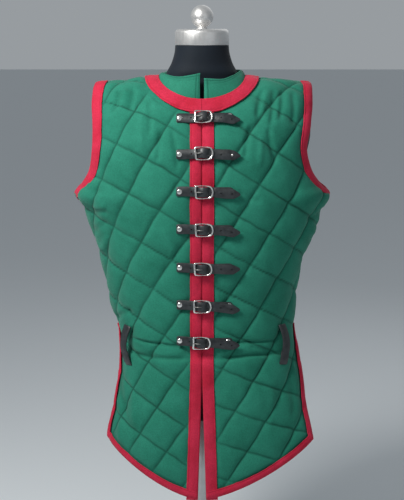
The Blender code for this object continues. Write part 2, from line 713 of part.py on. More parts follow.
def make_fastenings():
    """Seven fastenings: billet, chape, buckle, prong and rivets, numbered from the top."""
    buckle, prong = buckle_mesh(), prong_mesh()
    for number, strap in enumerate(STRAPS, 1):
        strip(f"billet_{number}", billet_pairs(strap), STRAP_WALL, "black_leather")
        strip(f"chape_{number}", chape_pairs(strap), STRAP_WALL, "black_leather")
        frame = strap_frame(strap.z, strap.shift)
        for name, mesh in ((f"buckle_{number}", buckle), (f"prong_{number}", prong)):
            made = add_object(name, mesh.copy(), "nickel")
            made.matrix_world = frame
        top = BILLET[1].out + STRAP_WALL / 2 + GAP
        make_rivet(f"rivet_{number}", RIVET_RADIUS, RIVET_RISE, RIVET_X, strap.z + strap.start, top)
        if number == STUD:
            out = BILLET[-2].out + STRAP_WALL / 2 + GAP
            z = strap.z - strap.droop * 0.73
            make_rivet(f"chape_rivet_{number}", STUD_RADIUS, RIVET_RISE, strap.rivet_x, z, out)
        elif strap.rivet_x:
            out = CHAPE_LOW + STRAP_WALL / 2 + GAP
            z = strap.z + strap.chape + 0.0012
            make_rivet(f"chape_rivet_{number}", RIVET_RADIUS, HIDDEN_RIVET_RISE, strap.rivet_x, z, out)


def make_belt_loops():
    """Leather loops at the waist, sewn down at both ends and standing proud between."""
    for loop in BELT_LOOPS:
        pairs = []
        for k in range(9):
            share = k / 8
            z = loop.top + (loop.bottom - loop.top) * share
            out = 0.0022 + loop.proud * math.sin(math.pi * share) ** 0.8
            here, outward, up = front_frame(loop.side * loop.x, z)
            across = up.cross(outward)
            pairs.append([here + outward * out + across * s * LOOP_WIDTH / 2 for s in (-1, 1)])
        strip(loop.name, pairs, LOOP_WALL, "black_leather")


# ---------------------------------------------------------------- dress form and stand
def make_form():
    """The dress form's body and neck: one loft through flat rings."""
    body = bmesh.new()
    rings = []
    for ring in FORM_RINGS:
        loop = []
        for k in range(FORM_SIDES):
            turn = 2 * math.pi * k / FORM_SIDES
            c, s = math.cos(turn), math.sin(turn)
            depth = ring.back if s > 0 else ring.front
            x = ring.half * math.copysign(abs(c) ** (2 / FORM_ROUNDNESS), c)
            y = depth * math.copysign(abs(s) ** (2 / FORM_ROUNDNESS), s)
            loop.append(body.verts.new((x, y, ring.z)))
        rings.append(loop)
    for low, high in zip(rings, rings[1:]):
        for k in range(FORM_SIDES):
            n = (k + 1) % FORM_SIDES
            body.faces.new((low[k], low[n], high[n], high[k]))
    body.faces.new(rings[0][::-1])
    body.faces.new(rings[-1])
    mesh = bpy.data.meshes.new("form_body")
    body.to_mesh(mesh)
    body.free()
    mesh.shade_smooth()
    add_object("form_body", mesh, "form_cover")


def make_stand():
    """Neck cap, ball finial, pole and base."""
    edge = [(90 - k * 30) for k in range(4)]
    rim = [
        (
            CAP_RADIUS - CAP_EDGE + CAP_EDGE * math.cos(math.radians(a)),
            CAP_HIGH - CAP_EDGE + CAP_EDGE * math.sin(math.radians(a)),
        )
        for a in edge
    ]
    turned("neck_cap", [(0.0, CAP_HIGH), *rim, (CAP_RADIUS, CAP_LOW), (0.0, CAP_LOW)], 40, "stand_metal")
    foot = math.asin(STEM_RADIUS / BALL_RADIUS)
    ball = []
    for k in range(13):
        turn = (math.pi - foot) * k / 12
        ball.append((BALL_RADIUS * math.sin(turn), BALL_Z + BALL_RADIUS * math.cos(turn)))
    ball += [(STEM_RADIUS, CAP_HIGH + GAP), (0.0, CAP_HIGH + GAP)]
    turned("finial", ball, 32, "nickel")
    pole = [(0.0, POLE_HIGH), (POLE_RADIUS, POLE_HIGH), (POLE_RADIUS, POLE_LOW), (0.0, POLE_LOW)]
    turned("pole", pole, 24, "stand_metal")
    disc = [
        (0.0, BASE_HEIGHT),
        (BASE_RADIUS - BASE_EDGE, BASE_HEIGHT),
        (BASE_RADIUS, BASE_HEIGHT - BASE_EDGE),
        (BASE_RADIUS, 0.0),
        (0.0, 0.0),
    ]
    turned("base", disc, 48, "stand_metal")


def main():
    for old in list(bpy.data.objects):
        bpy.data.objects.remove(old, do_unlink=True)
    for name in ("gambeson_on_dress_form", "guides"):
        bpy.context.scene.collection.children.link(bpy.data.collections.new(name))
    halves = {(side, face): half_panel(side, face) for side in (-1, 1) for face in (-1, 1)}
    normals = outward_normals(halves)
    make_panels(halves, normals)
    make_bands(halves, normals)
    make_collar(halves, normals)
    make_fastenings()
    make_belt_loops()
    make_form()
    make_stand()


main()
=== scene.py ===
"""The looks of a quilted gambeson on its dress form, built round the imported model.

Metres, +Z up, the front faces -Y. Left and right are as seen from the front: left is -X.
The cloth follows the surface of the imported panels. A row number runs up the table of sections,
from hem to shoulder seam, and an angle runs round each section, from the middle (0) to the side."""

import math
from collections import namedtuple

import bmesh
import bpy
import numpy as np
from mathutils import Matrix, Vector


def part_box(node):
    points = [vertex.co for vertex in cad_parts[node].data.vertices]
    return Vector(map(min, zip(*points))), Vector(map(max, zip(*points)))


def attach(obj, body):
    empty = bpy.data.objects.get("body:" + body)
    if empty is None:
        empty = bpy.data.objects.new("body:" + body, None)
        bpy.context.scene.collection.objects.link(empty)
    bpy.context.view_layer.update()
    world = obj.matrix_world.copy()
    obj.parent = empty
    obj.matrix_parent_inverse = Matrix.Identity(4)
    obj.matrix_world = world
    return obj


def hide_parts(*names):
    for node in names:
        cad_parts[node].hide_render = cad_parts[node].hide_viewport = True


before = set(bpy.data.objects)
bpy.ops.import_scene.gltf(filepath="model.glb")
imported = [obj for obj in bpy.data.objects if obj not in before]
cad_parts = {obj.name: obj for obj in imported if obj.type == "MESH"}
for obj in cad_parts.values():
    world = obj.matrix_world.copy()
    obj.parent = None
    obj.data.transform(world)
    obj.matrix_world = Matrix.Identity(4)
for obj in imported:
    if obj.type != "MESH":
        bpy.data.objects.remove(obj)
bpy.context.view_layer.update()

# ---------------------------------------------------------------- the cloth's surface, as packed
SECTIONS = np.array(
    (
        # z at the middle; half widths left and right; depths in front and behind;
        # share of the depth that the side edge stays away from the side seam
        (0.180, 0.180, 0.221, 0.138, 0.122, 0.10),
        (0.285, 0.180, 0.212, 0.137, 0.120, 0.08),
        (0.350, 0.166, 0.197, 0.133, 0.115, 0.06),
        (0.415, 0.155, 0.187, 0.128, 0.109, 0.04),
        (0.445, 0.1525, 0.181, 0.126, 0.106, 0.02),
        (0.463, 0.153, 0.178, 0.119, 0.101, 0.01),
        (0.497, 0.157, 0.172, 0.122, 0.104, 0.00),
        (0.555, 0.174, 0.176, 0.121, 0.105, 0.00),
        (0.616, 0.187, 0.188, 0.126, 0.112, 0.00),
        (0.673, 0.203, 0.207, 0.131, 0.118, 0.00),
        (0.715, 0.218, 0.221, 0.133, 0.121, 0.00),
        (0.744, 0.235, 0.236, 0.134, 0.122, 0.00),
        (0.765, 0.221, 0.218, 0.134, 0.122, 0.30),
        (0.795, 0.204, 0.198, 0.132, 0.121, 0.48),
        (0.830, 0.199, 0.190, 0.127, 0.119, 0.55),
        (0.870, 0.198, 0.196, 0.114, 0.112, 0.55),
        (0.905, 0.200, 0.200, 0.096, 0.098, 0.52),
        (0.930, 0.200, 0.201, 0.075, 0.080, 0.50),
        (0.948, 0.199, 0.2015, 0.050, 0.055, 0.47),
        (0.957, 0.197, 0.201, 0.028, 0.030, 0.45),
        (0.9605, 0.196, 0.200, 0.000, 0.000, 0.45),
    )
)
ROUNDNESS = 2.3
ROW_VENT, ROW_ARMPIT, ROW_TOP = 6.0, 11.0, float(len(SECTIONS) - 1)
ROW_SHOULDER = 16.0  # a grid line that starts on the neckline ends on the armhole from here up
TOP_Z = SECTIONS[-1][0]
SHOULDER_DROP, DROP_FROM_Z = 0.016, 0.830
WING = {(-1, -1): 0.22, (1, -1): 0.42, (-1, 1): 0.10, (1, 1): 0.12}  # flare of each skirt's side
HEM_MIDDLE_Z, HEM_RISE, HEM_POWER = 0.1945, {-1: 0.097, 1: 0.100}, {-1: 1.50, 1: 1.42}
VENT_Z = SECTIONS[int(ROW_VENT)][0]
SLIT_TOP_Z, SLIT_HALF, GAP = 0.425, 0.0075, 0.0003
EDGE_BAND, ARM_BAND, VENT_BAND, HEM_BAND = 0.021, {-1: 0.0225, 1: 0.0185}, 0.014, 0.016
NECK_HALF = (0.079, 0.104)  # the neck binding's inner and outer half widths
NECK_FALL = {-1: (0.041, 0.064), 1: (0.017, 0.0355)}  # front, back: how low both edges dip
NECK_POWER = {-1: (1.30, 1.45), 1: (1.0, 1.0)}  # how pointed the dip is
COLLAR_TOP_HALF, COLLAR_TOP_DEPTH = 0.0725, {-1: 0.0715, 1: 0.065}
COLLAR_STOPS = (0.0, 0.28, 0.53, 0.80, 1.0)  # shares of the way from the middle to the side
COLLAR_TOP_Z = {
    (-1, -1): (0.9670, 0.9630, 0.9605, 0.9620, 0.9655),
    (1, -1): (0.9580, 0.9565, 0.9562, 0.9630, 0.9700),
    (-1, 1): (0.9700, 0.9700, 0.9695, 0.9680, 0.9655),
    (1, 1): (0.9700, 0.9700, 0.9700, 0.9700, 0.9700),
}


def spline(before, start, end, after, t):
    """A Catmull-Rom curve at the share t of the way from start to end."""
    rise = (2 * before - 5 * start + 4 * end - after) * t**2
    return 0.5 * (2 * start + (end - before) * t + rise + (3 * start - before - 3 * end + after) * t**3)


def smooth_rows(rows):
    """The sections at fractional rows: a Catmull-Rom curve through the table."""
    last = len(SECTIONS) - 1
    low = np.minimum(rows.astype(int), last - 1)
    return spline(*(SECTIONS[np.clip(low + k, 0, last)] for k in (-1, 0, 1, 2)), (rows - low)[:, None])


FINE_ROWS = np.linspace(0.0, ROW_TOP, 4001)
FINE = smooth_rows(FINE_ROWS)


def half_width(side, row):
    """The half width that a section would have at y = 0, past its open side."""
    left, right, opening = (np.interp(row, FINE_ROWS, FINE[:, k]) for k in (1, 2, 5))
    return np.where(side < 0, left, right) / (1 - np.maximum(opening, 0) ** ROUNDNESS) ** (1 / ROUNDNESS)


def side_angle(row):
    """The angle at which a panel ends at its side edge."""
    return np.arccos(np.clip(np.interp(row, FINE_ROWS, FINE[:, 5]), 0, 1) ** (ROUNDNESS / 2))


def chosen(table, side, face):
    """The table's number for each side and face."""
    front = np.where(side < 0, table[-1, -1], table[1, -1])
    return np.where(face < 0, front, np.where(side < 0, table[-1, 1], table[1, 1]))


def flare(side, face, z):
    """The share of the angle that a section keeps where the open skirt flares."""
    fall = np.clip((VENT_Z - z) / (VENT_Z - HEM_MIDDLE_Z), 0, 1)
    return 1 - chosen(WING, side, face) * fall**0.6


def spread(side, face, angle, z):
    """How far across, from 0 to 1, and how far from the middle plane a section is at an angle."""
    kept = flare(side, face, z)
    across = np.clip(np.sin(angle * kept) / np.sin(math.pi / 2 * kept), 0, 1) ** (2 / ROUNDNESS)
    return across, np.clip(np.cos(angle * kept), 0, 1) ** (2 / ROUNDNESS)


def cloth(side, face, angle, row):
    """Points of the cloth's outer surface. side is -1 left, 1 right; face is -1 front, 1 back."""
    z, front, back = (np.interp(row, FINE_ROWS, FINE[:, k]) for k in (0, 3, 4))
    across, away = spread(side, face, angle, z)
    depth = np.maximum(np.where(face < 0, front, back), 0)
    drop = SHOULDER_DROP * np.maximum(z - DROP_FROM_Z, 0) / (TOP_Z - DROP_FROM_Z)
    x = side * half_width(side, row) * across
    return np.stack(np.broadcast_arrays(x, face * depth * away, z - drop * across**2), -1)


def unit(vectors):
    return vectors / np.maximum(np.linalg.norm(vectors, axis=-1, keepdims=True), 1e-9)


def toward(vectors, aim):
    """The unit vectors, turned over where they point away from the aim."""
    made = unit(vectors)
    return made * np.sign((made * aim).sum(-1, keepdims=True))


def run_along(points):
    """How far along its line each point is from the first one."""
    steps = np.linalg.norm(np.diff(points, axis=-2), axis=-1)
    return np.concatenate([np.zeros((*steps.shape[:-1], 1)), np.cumsum(steps, axis=-1)], axis=-1)


def cloth_normals(side, face, angle, row):
    """The outward directions of the cloth's surface."""
    turn, climb = 0.012, 0.06
    round_it = cloth(side, face, np.minimum(angle + turn, math.pi / 2), row)
    round_it = round_it - cloth(side, face, np.maximum(angle - turn, 0), row)
    up_it = cloth(side, face, angle, np.minimum(row + climb, ROW_TOP))
    up_it = up_it - cloth(side, face, angle, np.maximum(row - climb, 0))
    sign = np.asarray(-side * face, float)[..., None]
    normals = np.cross(round_it, up_it) * sign
    normals[..., 0] = np.where(angle < 0.5 * turn, 0.0, normals[..., 0])
    return unit(normals)


def place(side, face, x, z):
    """The angles and rows of the surface's points at sideways distances x and heights z."""
    aim = np.array(z, float)
    for _ in range(8):
        row = np.interp(aim, FINE[:, 0], FINE_ROWS)
        kept = flare(side, face, np.interp(row, FINE_ROWS, FINE[:, 0]))
        share = np.clip(x / half_width(side, row), 0, 1) ** (ROUNDNESS / 2)
        angle = np.arcsin(share * np.sin(math.pi / 2 * kept)) / kept
        aim = aim + z - cloth(side, face, angle, row)[..., 2]
    return angle, row


def hem_height(side, across):
    return HEM_MIDDLE_Z + HEM_RISE[side] * across ** HEM_POWER[side]


def row_over_hem(side, face, angle, height):
    """The rows at the given angles whose heights follow from how far across they are."""
    z = height(np.sin(angle) ** (2 / ROUNDNESS))
    for _ in range(5):
        z = height(spread(side, face, angle, z)[0])
    return np.interp(z, FINE[:, 0], FINE_ROWS)


def middle_gap(z, face):
    """How far a panel's middle edge stands from x = 0."""
    fallen = np.maximum(SLIT_TOP_Z - z, 0) / (SLIT_TOP_Z - HEM_MIDDLE_Z)
    return np.where(face > 0, 0.0, GAP / 2 + SLIT_HALF * fallen)


def neck_place(side, face, edge, turn):
    """The angles and rows on the neck binding's inner (0) or outer (1) edge, turn in degrees."""
    turn = np.radians(turn)
    top = half_width(side, ROW_TOP)
    x = NECK_HALF[edge] * np.cos(turn)
    seam = TOP_Z - SHOULDER_DROP * (x / top) ** 2
    power = np.where(face < 0, NECK_POWER[-1][edge], NECK_POWER[1][edge])
    fall = np.where(face < 0, NECK_FALL[-1][edge], NECK_FALL[1][edge]) * np.sin(turn) ** power
    angle, row = place(side, face, np.maximum(x, middle_gap(TOP_Z, face)), seam - fall)
    on_seam = turn < 1e-6
    seam_angle = np.arcsin((x / top) ** (ROUNDNESS / 2))
    return np.where(on_seam, seam_angle, angle), np.where(on_seam, ROW_TOP, row)


# ---------------------------------------------------------------- the cloth laid flat, and its quilting
FLAT_ROWS, FLAT_ANGLES = np.linspace(0, ROW_TOP, 241), np.linspace(0, math.pi / 2, 121)
WAIST_Z = 0.5  # the flat height is counted from here


def flat_tables(side, face):
    """Distance round from the middle and distance up the middle, over rows and angles."""
    points = cloth(side, face, FLAT_ANGLES[None, :], FLAT_ROWS[:, None])
    up = run_along(points[:, 0])
    return run_along(points), up - np.interp(WAIST_Z, points[:, 0, 2], up)


FLAT = {(side, face): flat_tables(side, face) for side in (-1, 1) for face in (-1, 1)}


def flat_place(side, face, angle, row):
    """Where points of one half panel lie on the flat cloth: across (left is minus) and up."""
    across, up = FLAT[side, face]
    i = np.clip(row / FLAT_ROWS[1], 0, len(FLAT_ROWS) - 1.001)
    j = np.clip(angle / FLAT_ANGLES[1], 0, len(FLAT_ANGLES) - 1.001)
    low, near = i.astype(int), j.astype(int)
    p, q = i - low, j - near
    found = (1 - p) * ((1 - q) * across[low, near] + q * across[low, near + 1])
    found = found + p * ((1 - q) * across[low + 1, near] + q * across[low + 1, near + 1])
    return side * found, np.interp(row, FLAT_ROWS, up)


Family = namedtuple("Family", "start across up bow twist arch depth width mark")
QUILTING = {
    # one family of parallel seams, 61 to 71 mm apart: the number of the seam at the waist's middle,
    # how that number grows per metre across and up, how the growth bends; groove depth and width,
    # and how dark its stitching shows, with painted shade in its groove
    "front_left": (
        (5.80, 11.05, -8.86, -13.4, -2.1, 1.7, 0.0094, 0.0120, 0.90),
        (4.34, -9.42, -13.50, -10.7, 2.9, 2.1, 0.0062, 0.0100, 0.80),
    ),
    "front_right": (
        (2.93, 13.68, -8.61, -2.0, -1.9, 0.9, 0.0084, 0.0120, 0.88),
        (6.34, -6.92, -13.68, 2.2, -5.5, 2.9, 0.0060, 0.0100, 0.80),
    ),
    "back_panel": (
        (3.30, 13.30, -8.70, -1.5, 0.9, 0.6, 0.0086, 0.0120, 0.85),
        (5.10, -7.10, -13.60, 1.2, 1.6, -0.9, 0.0062, 0.0100, 0.80),
    ),
}

Fold = namedtuple("Fold", "x z x2 z2 bend width height")
FOLDS = {
    # soft troughs (height below 0) and ridges: both ends, sideways bend, half width, height
    "front_left": (
        (-0.136, 0.486, -0.018, 0.477, -0.0020, 0.0030, -0.0042),
        (-0.136, 0.458, -0.018, 0.456, -0.0030, 0.0030, -0.0042),
        (-0.118, 0.469, -0.024, 0.466, -0.0030, 0.0070, 0.0022),
        (-0.148, 0.940, -0.163, 0.890, 0.0030, 0.0050, -0.0034),
        (-0.121, 0.940, -0.133, 0.898, 0.0020, 0.0048, -0.0030),
        (-0.134, 0.938, -0.149, 0.900, 0.0020, 0.0060, 0.0020),
        (-0.096, 0.930, -0.093, 0.850, 0.0020, 0.0055, -0.0028),
        (-0.107, 0.900, -0.103, 0.826, -0.0020, 0.0055, 0.0018),
        (-0.074, 0.872, -0.081, 0.806, 0.0020, 0.0050, -0.0026),
        (-0.056, 0.876, -0.043, 0.792, 0.0030, 0.0055, -0.0028),
        (-0.207, 0.742, -0.176, 0.756, 0.0040, 0.0060, -0.0018),
        (-0.205, 0.728, -0.168, 0.733, -0.0040, 0.0065, 0.0016),
        (-0.201, 0.712, -0.166, 0.719, 0.0030, 0.0060, -0.0022),
        (-0.197, 0.672, -0.172, 0.700, 0.0030, 0.0060, -0.0026),
        (-0.188, 0.640, -0.169, 0.676, -0.0030, 0.0060, 0.0026),
        (-0.162, 0.505, -0.124, 0.541, 0.0050, 0.0048, -0.0034),
        (-0.150, 0.490, -0.118, 0.519, -0.0030, 0.0050, 0.0024),
        (-0.151, 0.424, -0.138, 0.330, -0.0050, 0.0062, -0.0038),
        (-0.133, 0.416, -0.125, 0.318, 0.0040, 0.0068, 0.0026),
        (-0.160, 0.380, -0.152, 0.282, 0.0040, 0.0060, 0.0028),
        (-0.070, 0.700, -0.050, 0.640, 0.0040, 0.0090, 0.0016),
    ),
    "front_right": (
        (0.020, 0.478, 0.148, 0.481, 0.0030, 0.0030, -0.0042),
        (0.018, 0.455, 0.150, 0.457, 0.0026, 0.0030, -0.0042),
        (0.024, 0.466, 0.140, 0.469, 0.0030, 0.0070, 0.0022),
        (0.084, 0.476, 0.126, 0.460, 0.0010, 0.0026, -0.0026),
        (0.109, 0.940, 0.097, 0.884, -0.0020, 0.0050, -0.0032),
        (0.117, 0.936, 0.109, 0.886, -0.0020, 0.0055, 0.0020),
        (0.127, 0.940, 0.119, 0.868, 0.0030, 0.0050, -0.0030),
        (0.144, 0.940, 0.137, 0.878, 0.0020, 0.0048, -0.0030),
        (0.161, 0.935, 0.163, 0.870, 0.0020, 0.0055, -0.0028),
        (0.089, 0.880, 0.076, 0.812, -0.0030, 0.0050, -0.0028),
        (0.117, 0.876, 0.133, 0.806, -0.0030, 0.0050, -0.0030),
        (0.104, 0.862, 0.100, 0.800, 0.0020, 0.0058, 0.0018),
        (0.225, 0.722, 0.190, 0.700, 0.0040, 0.0055, -0.0036),
        (0.219, 0.700, 0.192, 0.672, 0.0040, 0.0060, 0.0028),
        (0.060, 0.760, 0.110, 0.742, -0.0040, 0.0080, -0.0018),
        (0.158, 0.440, 0.166, 0.330, 0.0040, 0.0070, -0.0022),
        (0.126, 0.420, 0.120, 0.300, 0.0040, 0.0090, 0.0018),
    ),
    "back_panel": (
        (-0.140, 0.484, 0.150, 0.480, -0.0030, 0.0030, -0.0040),
        (-0.140, 0.457, 0.152, 0.458, -0.0030, 0.0030, -0.0040),
        (-0.120, 0.469, 0.130, 0.468, -0.0030, 0.0070, 0.0022),
        (-0.190, 0.735, -0.140, 0.716, 0.0040, 0.0060, -0.0034),
        (0.196, 0.728, 0.150, 0.704, -0.0040, 0.0060, -0.0034),
        (-0.120, 0.935, -0.112, 0.872, 0.0030, 0.0055, -0.0026),
        (0.128, 0.935, 0.118, 0.866, -0.0030, 0.0055, -0.0026),
        (-0.050, 0.930, -0.046, 0.880, 0.0020, 0.0060, -0.0020),
        (0.060, 0.560, 0.140, 0.590, 0.0060, 0.0080, -0.0024),
        (-0.140, 0.550, -0.050, 0.585, -0.0060, 0.0080, -0.0024),
        (-0.080, 0.430, -0.088, 0.300, 0.0050, 0.0090, -0.0024),
        (0.070, 0.425, 0.082, 0.290, -0.0050, 0.0095, -0.0026),
        (0.000, 0.440, -0.006, 0.300, 0.0060, 0.0100, 0.0020),
    ),
}


def waves(u, v, lengths, seed):
    """A smooth uneven field from -1 to 1: a few crossing waves of the given lengths."""
    rng = np.random.default_rng(seed)
    total = np.zeros(np.broadcast(u, v).shape)
    for length in lengths:
        heading, phase = rng.uniform(0, math.pi), rng.uniform(0, 2 * math.pi)
        along = u * math.cos(heading) + v * math.sin(heading)
        total = total + np.sin(along * 2 * math.pi / length + phase)
    return total / len(lengths)


SEAM_DRIFT = 0.0011  # how far a seam wanders
DEPTH_UNEVEN = 0.28  # the share by which a seam's depth varies along it
SEAM_ROUNDING = 0.0005  # half width of a seam's rounded bottom
# the last number is the half width of the dark line along each seam: its stitching plus painted shade in the
# groove
SHARP_SHARE, SHARP_WIDTH, STITCH_SHADE_WIDTH = 0.38, 0.0026, 0.0016  # the steep part beside the stitches
FOLD_FADE = 0.22  # share of a fold over which each end fades out


def quilt_depth(panel, across, up):
    """The quilting seams' groove (0 or less) and the dark line along its stitches, thread plus painted
    groove shade, on the flat cloth.
    """
    across = across + SEAM_DRIFT * waves(across, up, (0.031, 0.047, 0.083), 3)
    up = up + SEAM_DRIFT * waves(across, up, (0.029, 0.053, 0.091), 4)
    depth = np.zeros(np.broadcast(across, up).shape)
    line = np.zeros(depth.shape)
    for family in (Family(*numbers) for numbers in QUILTING[panel]):
        count = family.start + family.across * across + family.up * up
        count = count + family.bow * across**2 + family.twist * across * up + family.arch * up**2
        slope_across = family.across + 2 * family.bow * across + family.twist * up
        slope_up = family.up + family.twist * across + 2 * family.arch * up
        off = np.abs(count - np.round(count)) / np.hypot(slope_across, slope_up)
        uneven = 1 + DEPTH_UNEVEN * waves(across, up, (0.09, 0.14, 0.21), 11)
        off = np.sqrt(off**2 + SEAM_ROUNDING**2)
        groove = (1 - SHARP_SHARE) * np.exp(-off / family.width) + SHARP_SHARE * np.exp(-off / SHARP_WIDTH)
        depth = depth - family.depth * uneven * groove
        # a dark line along each seam: the stitching thread plus painted shade at the groove's bottom
        line = np.maximum(line, family.mark * np.exp(-((off / STITCH_SHADE_WIDTH) ** 2)) * uneven)
    return -DEEPEST * np.tanh(-depth / DEEPEST), line


def fold_height(panel, x, z):
    """The height of the panel's listed folds at sideways places x and heights z."""
    total = np.zeros(np.broadcast(x, z).shape)
    for fold in (Fold(*numbers) for numbers in FOLDS[panel]):
        along = np.array((fold.x2 - fold.x, fold.z2 - fold.z))
        length = np.hypot(*along)
        share = ((x - fold.x) * along[0] + (z - fold.z) * along[1]) / length**2
        off = ((z - fold.z) * along[0] - (x - fold.x) * along[1]) / length
        inside = np.clip(share, 0, 1)
        off = off - fold.bend * 4 * inside * (1 - inside)
        fade = np.clip(np.minimum(share, 1 - share) / FOLD_FADE, 0, 1)
        total = total + fold.height * fade**2 * (3 - 2 * fade) * np.exp(-((off / fold.width) ** 2))
    return total


# ---------------------------------------------------------------- mesh helpers
def linked(name, data):
    """A new object in the scene."""
    made = bpy.data.objects.new(name, data)
    bpy.context.scene.collection.objects.link(made)
    return made


def mesh_piece(name, points, faces, materials):
    """A smooth mesh piece that rides on the body, with its materials."""
    mesh = bpy.data.meshes.new(name)
    mesh.from_pydata(np.asarray(points, float).tolist(), [], [list(map(int, f)) for f in faces])
    mesh.validate()
    mesh.shade_smooth()
    piece = linked(name, mesh)
    for one in materials:
        mesh.materials.append(one)
    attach(piece, "root")
    return piece


def set_flat(mesh, flat):
    """Stores each point's place on the flat cloth as UVs, in metres, for weave and grain."""
    layer = mesh.uv_layers.new(name="flat")
    index = np.zeros(len(mesh.loops), int)
    mesh.loops.foreach_get("vertex_index", index)
    layer.data.foreach_set("uv", np.asarray(flat, float)[index].ravel())


def set_mark(mesh, name, values):
    """Stores one number at each point, for a material to read."""
    mark = mesh.attributes.new(name, "FLOAT", "POINT")
    mark.data.foreach_set("value", np.asarray(values, np.float32))


def grid_quads(rows, columns, wrap_rows=False, wrap_columns=False):
    """The quads of a grid of points numbered row by row."""
    i = np.arange(rows if wrap_rows else rows - 1)[:, None]
    j = np.arange(columns if wrap_columns else columns - 1)[None, :]
    i2, j2 = (i + 1) % rows, (j + 1) % columns
    corners = (i * columns + j, i * columns + j2, i2 * columns + j2, i2 * columns + j)
    return np.stack(np.broadcast_arrays(*corners), -1).reshape(-1, 4)


def swept(loops, closed):
    """Points and faces of a tube through loops of points (stations, points, 3), capped if open."""
    stations, count = loops.shape[:2]
    faces = grid_quads(stations, count, wrap_rows=closed, wrap_columns=True).tolist()
    if not closed:
        faces.append(list(range(count)))
        faces.append([(stations - 1) * count + k for k in range(count)][::-1])
    return loops.reshape(-1, 3), faces


def face_outward(piece):
    """Turns all faces of a closed piece outward."""
    body = bmesh.new()
    body.from_mesh(piece.data)
    bmesh.ops.recalc_face_normals(body, faces=body.faces)
    body.to_mesh(piece.data)
    body.free()


def closed_piece(name, points, faces, material, slot, node):
    """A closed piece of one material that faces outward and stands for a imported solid."""
    piece = mesh_piece(name, points, faces, (material,))
    face_outward(piece)
    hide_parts(node)
    return piece


# ---------------------------------------------------------------- materials
def new_material(name):
    made = bpy.data.materials.new(name)
    made.use_nodes = True
    return made, made.node_tree.nodes, made.node_tree.links, made.node_tree.nodes["Principled BSDF"]


def fill(node, settings):
    """Sets a node's inputs, or its own settings, by name."""
    for key, value in settings.items():
        if key in node.inputs:
            node.inputs[key].default_value = value
        else:
            setattr(node, key, value)


def add_node(nodes, kind, **settings):
    node = nodes.new(kind)
    fill(node, settings)
    return node


def noise(nodes, links, where, scale, detail=3.0, roughness=0.55):
    node = add_node(nodes, "ShaderNodeTexNoise", Scale=scale, Detail=detail, Roughness=roughness)
    links.new(where, node.inputs["Vector"])
    return node.outputs["Fac"]


def ramp(nodes, links, value, stops):
    """A colour ramp; stops are (position, colour)."""
    node = nodes.new("ShaderNodeValToRGB")
    while len(node.color_ramp.elements) < len(stops):
        node.color_ramp.elements.new(0.5)
    for element, (position, colour) in zip(node.color_ramp.elements, stops):
        element.position = position
        element.color = (*colour, 1.0)
    links.new(value, node.inputs["Fac"])
    return node.outputs["Color"]


def mixed(nodes, links, share, first, second, blend="MIX"):
    """A mix of two colours; share is a socket or a number."""
    node = add_node(nodes, "ShaderNodeMix", data_type="RGBA", blend_type=blend)
    for socket, value in ((node.inputs[0], share), (node.inputs[6], first), (node.inputs[7], second)):
        if isinstance(value, bpy.types.NodeSocket):
            links.new(value, socket)
        else:
            socket.default_value = value
    return node.outputs[2]


def bumped(nodes, links, shader, layers):
    """Chains bumps; layers are (height socket, strength, distance in metres)."""
    before = None
    for height, strength, distance in layers:
        node = add_node(nodes, "ShaderNodeBump", Strength=strength, Distance=distance)
        links.new(height, node.inputs["Height"])
        if before:
            links.new(before, node.inputs["Normal"])
        before = node.outputs["Normal"]
    links.new(before, shader.inputs["Normal"])


WAVE_UNIT = 2 * math.pi / 20  # a Wave texture of scale 1 repeats after this length


def threads(nodes, links, where, direction, pitch, **uneven):
    """The height of parallel threads of the given pitch."""
    scale = WAVE_UNIT / pitch
    node = add_node(nodes, "ShaderNodeTexWave", bands_direction=direction, Scale=scale, **uneven)
    links.new(where, node.inputs["Vector"])
    return node.outputs["Fac"]


def weave(nodes, links, where, pitch):
    """A plain weave's height: threads along both directions of the flat cloth."""
    node = add_node(nodes, "ShaderNodeMath", operation="ADD")
    for socket, direction in enumerate(("X", "Y")):
        height = threads(nodes, links, where, direction, pitch, Distortion=1.2, Detail=1.0)
        links.new(height, node.inputs[socket])
    return node.outputs[0]


def cotton(name, low, high, sheen, groove=None, pitch=0.0009):
    """Woven cotton: mottled between two colours, with its weave, sheen and small slubs."""
    made, nodes, links, shader = new_material(name)
    flat = add_node(nodes, "ShaderNodeUVMap", uv_map="flat").outputs["UV"]
    where = nodes.new("ShaderNodeTexCoord").outputs["Object"]
    broad = noise(nodes, links, where, 26.0, 4.0)
    fine = noise(nodes, links, where, 420.0, 3.0, 0.7)
    colour = ramp(nodes, links, broad, ((0.30, low), (0.72, high)))
    fleck = ramp(nodes, links, fine, ((0.25, (0.80, 0.80, 0.80)), (0.75, (1.18, 1.18, 1.18))))
    colour = mixed(nodes, links, 1.0, colour, fleck, "MULTIPLY")
    # the stored groove marks mix in the darker colour: stitching plus painted shade in grooves and creases
    if groove:
        mark = add_node(nodes, "ShaderNodeAttribute", attribute_name="groove").outputs["Fac"]
        colour = mixed(nodes, links, mark, colour, (*groove, 1.0))
    links.new(colour, shader.inputs["Base Color"])
    fill(shader, {"Roughness": 0.82, "Specular IOR Level": 0.22})
    fill(shader, {"Sheen Weight": sheen, "Sheen Roughness": 0.45})
    shader.inputs["Sheen Tint"].default_value = (*(0.5 * c + 0.5 for c in high), 1.0)
    crease, cloth_weave = noise(nodes, links, where, 95.0, 5.0, 0.6), weave(nodes, links, flat, pitch)
    bumped(nodes, links, shader, ((crease, 0.35, 0.0012), (cloth_weave, 0.30, 0.00022)))
    return made


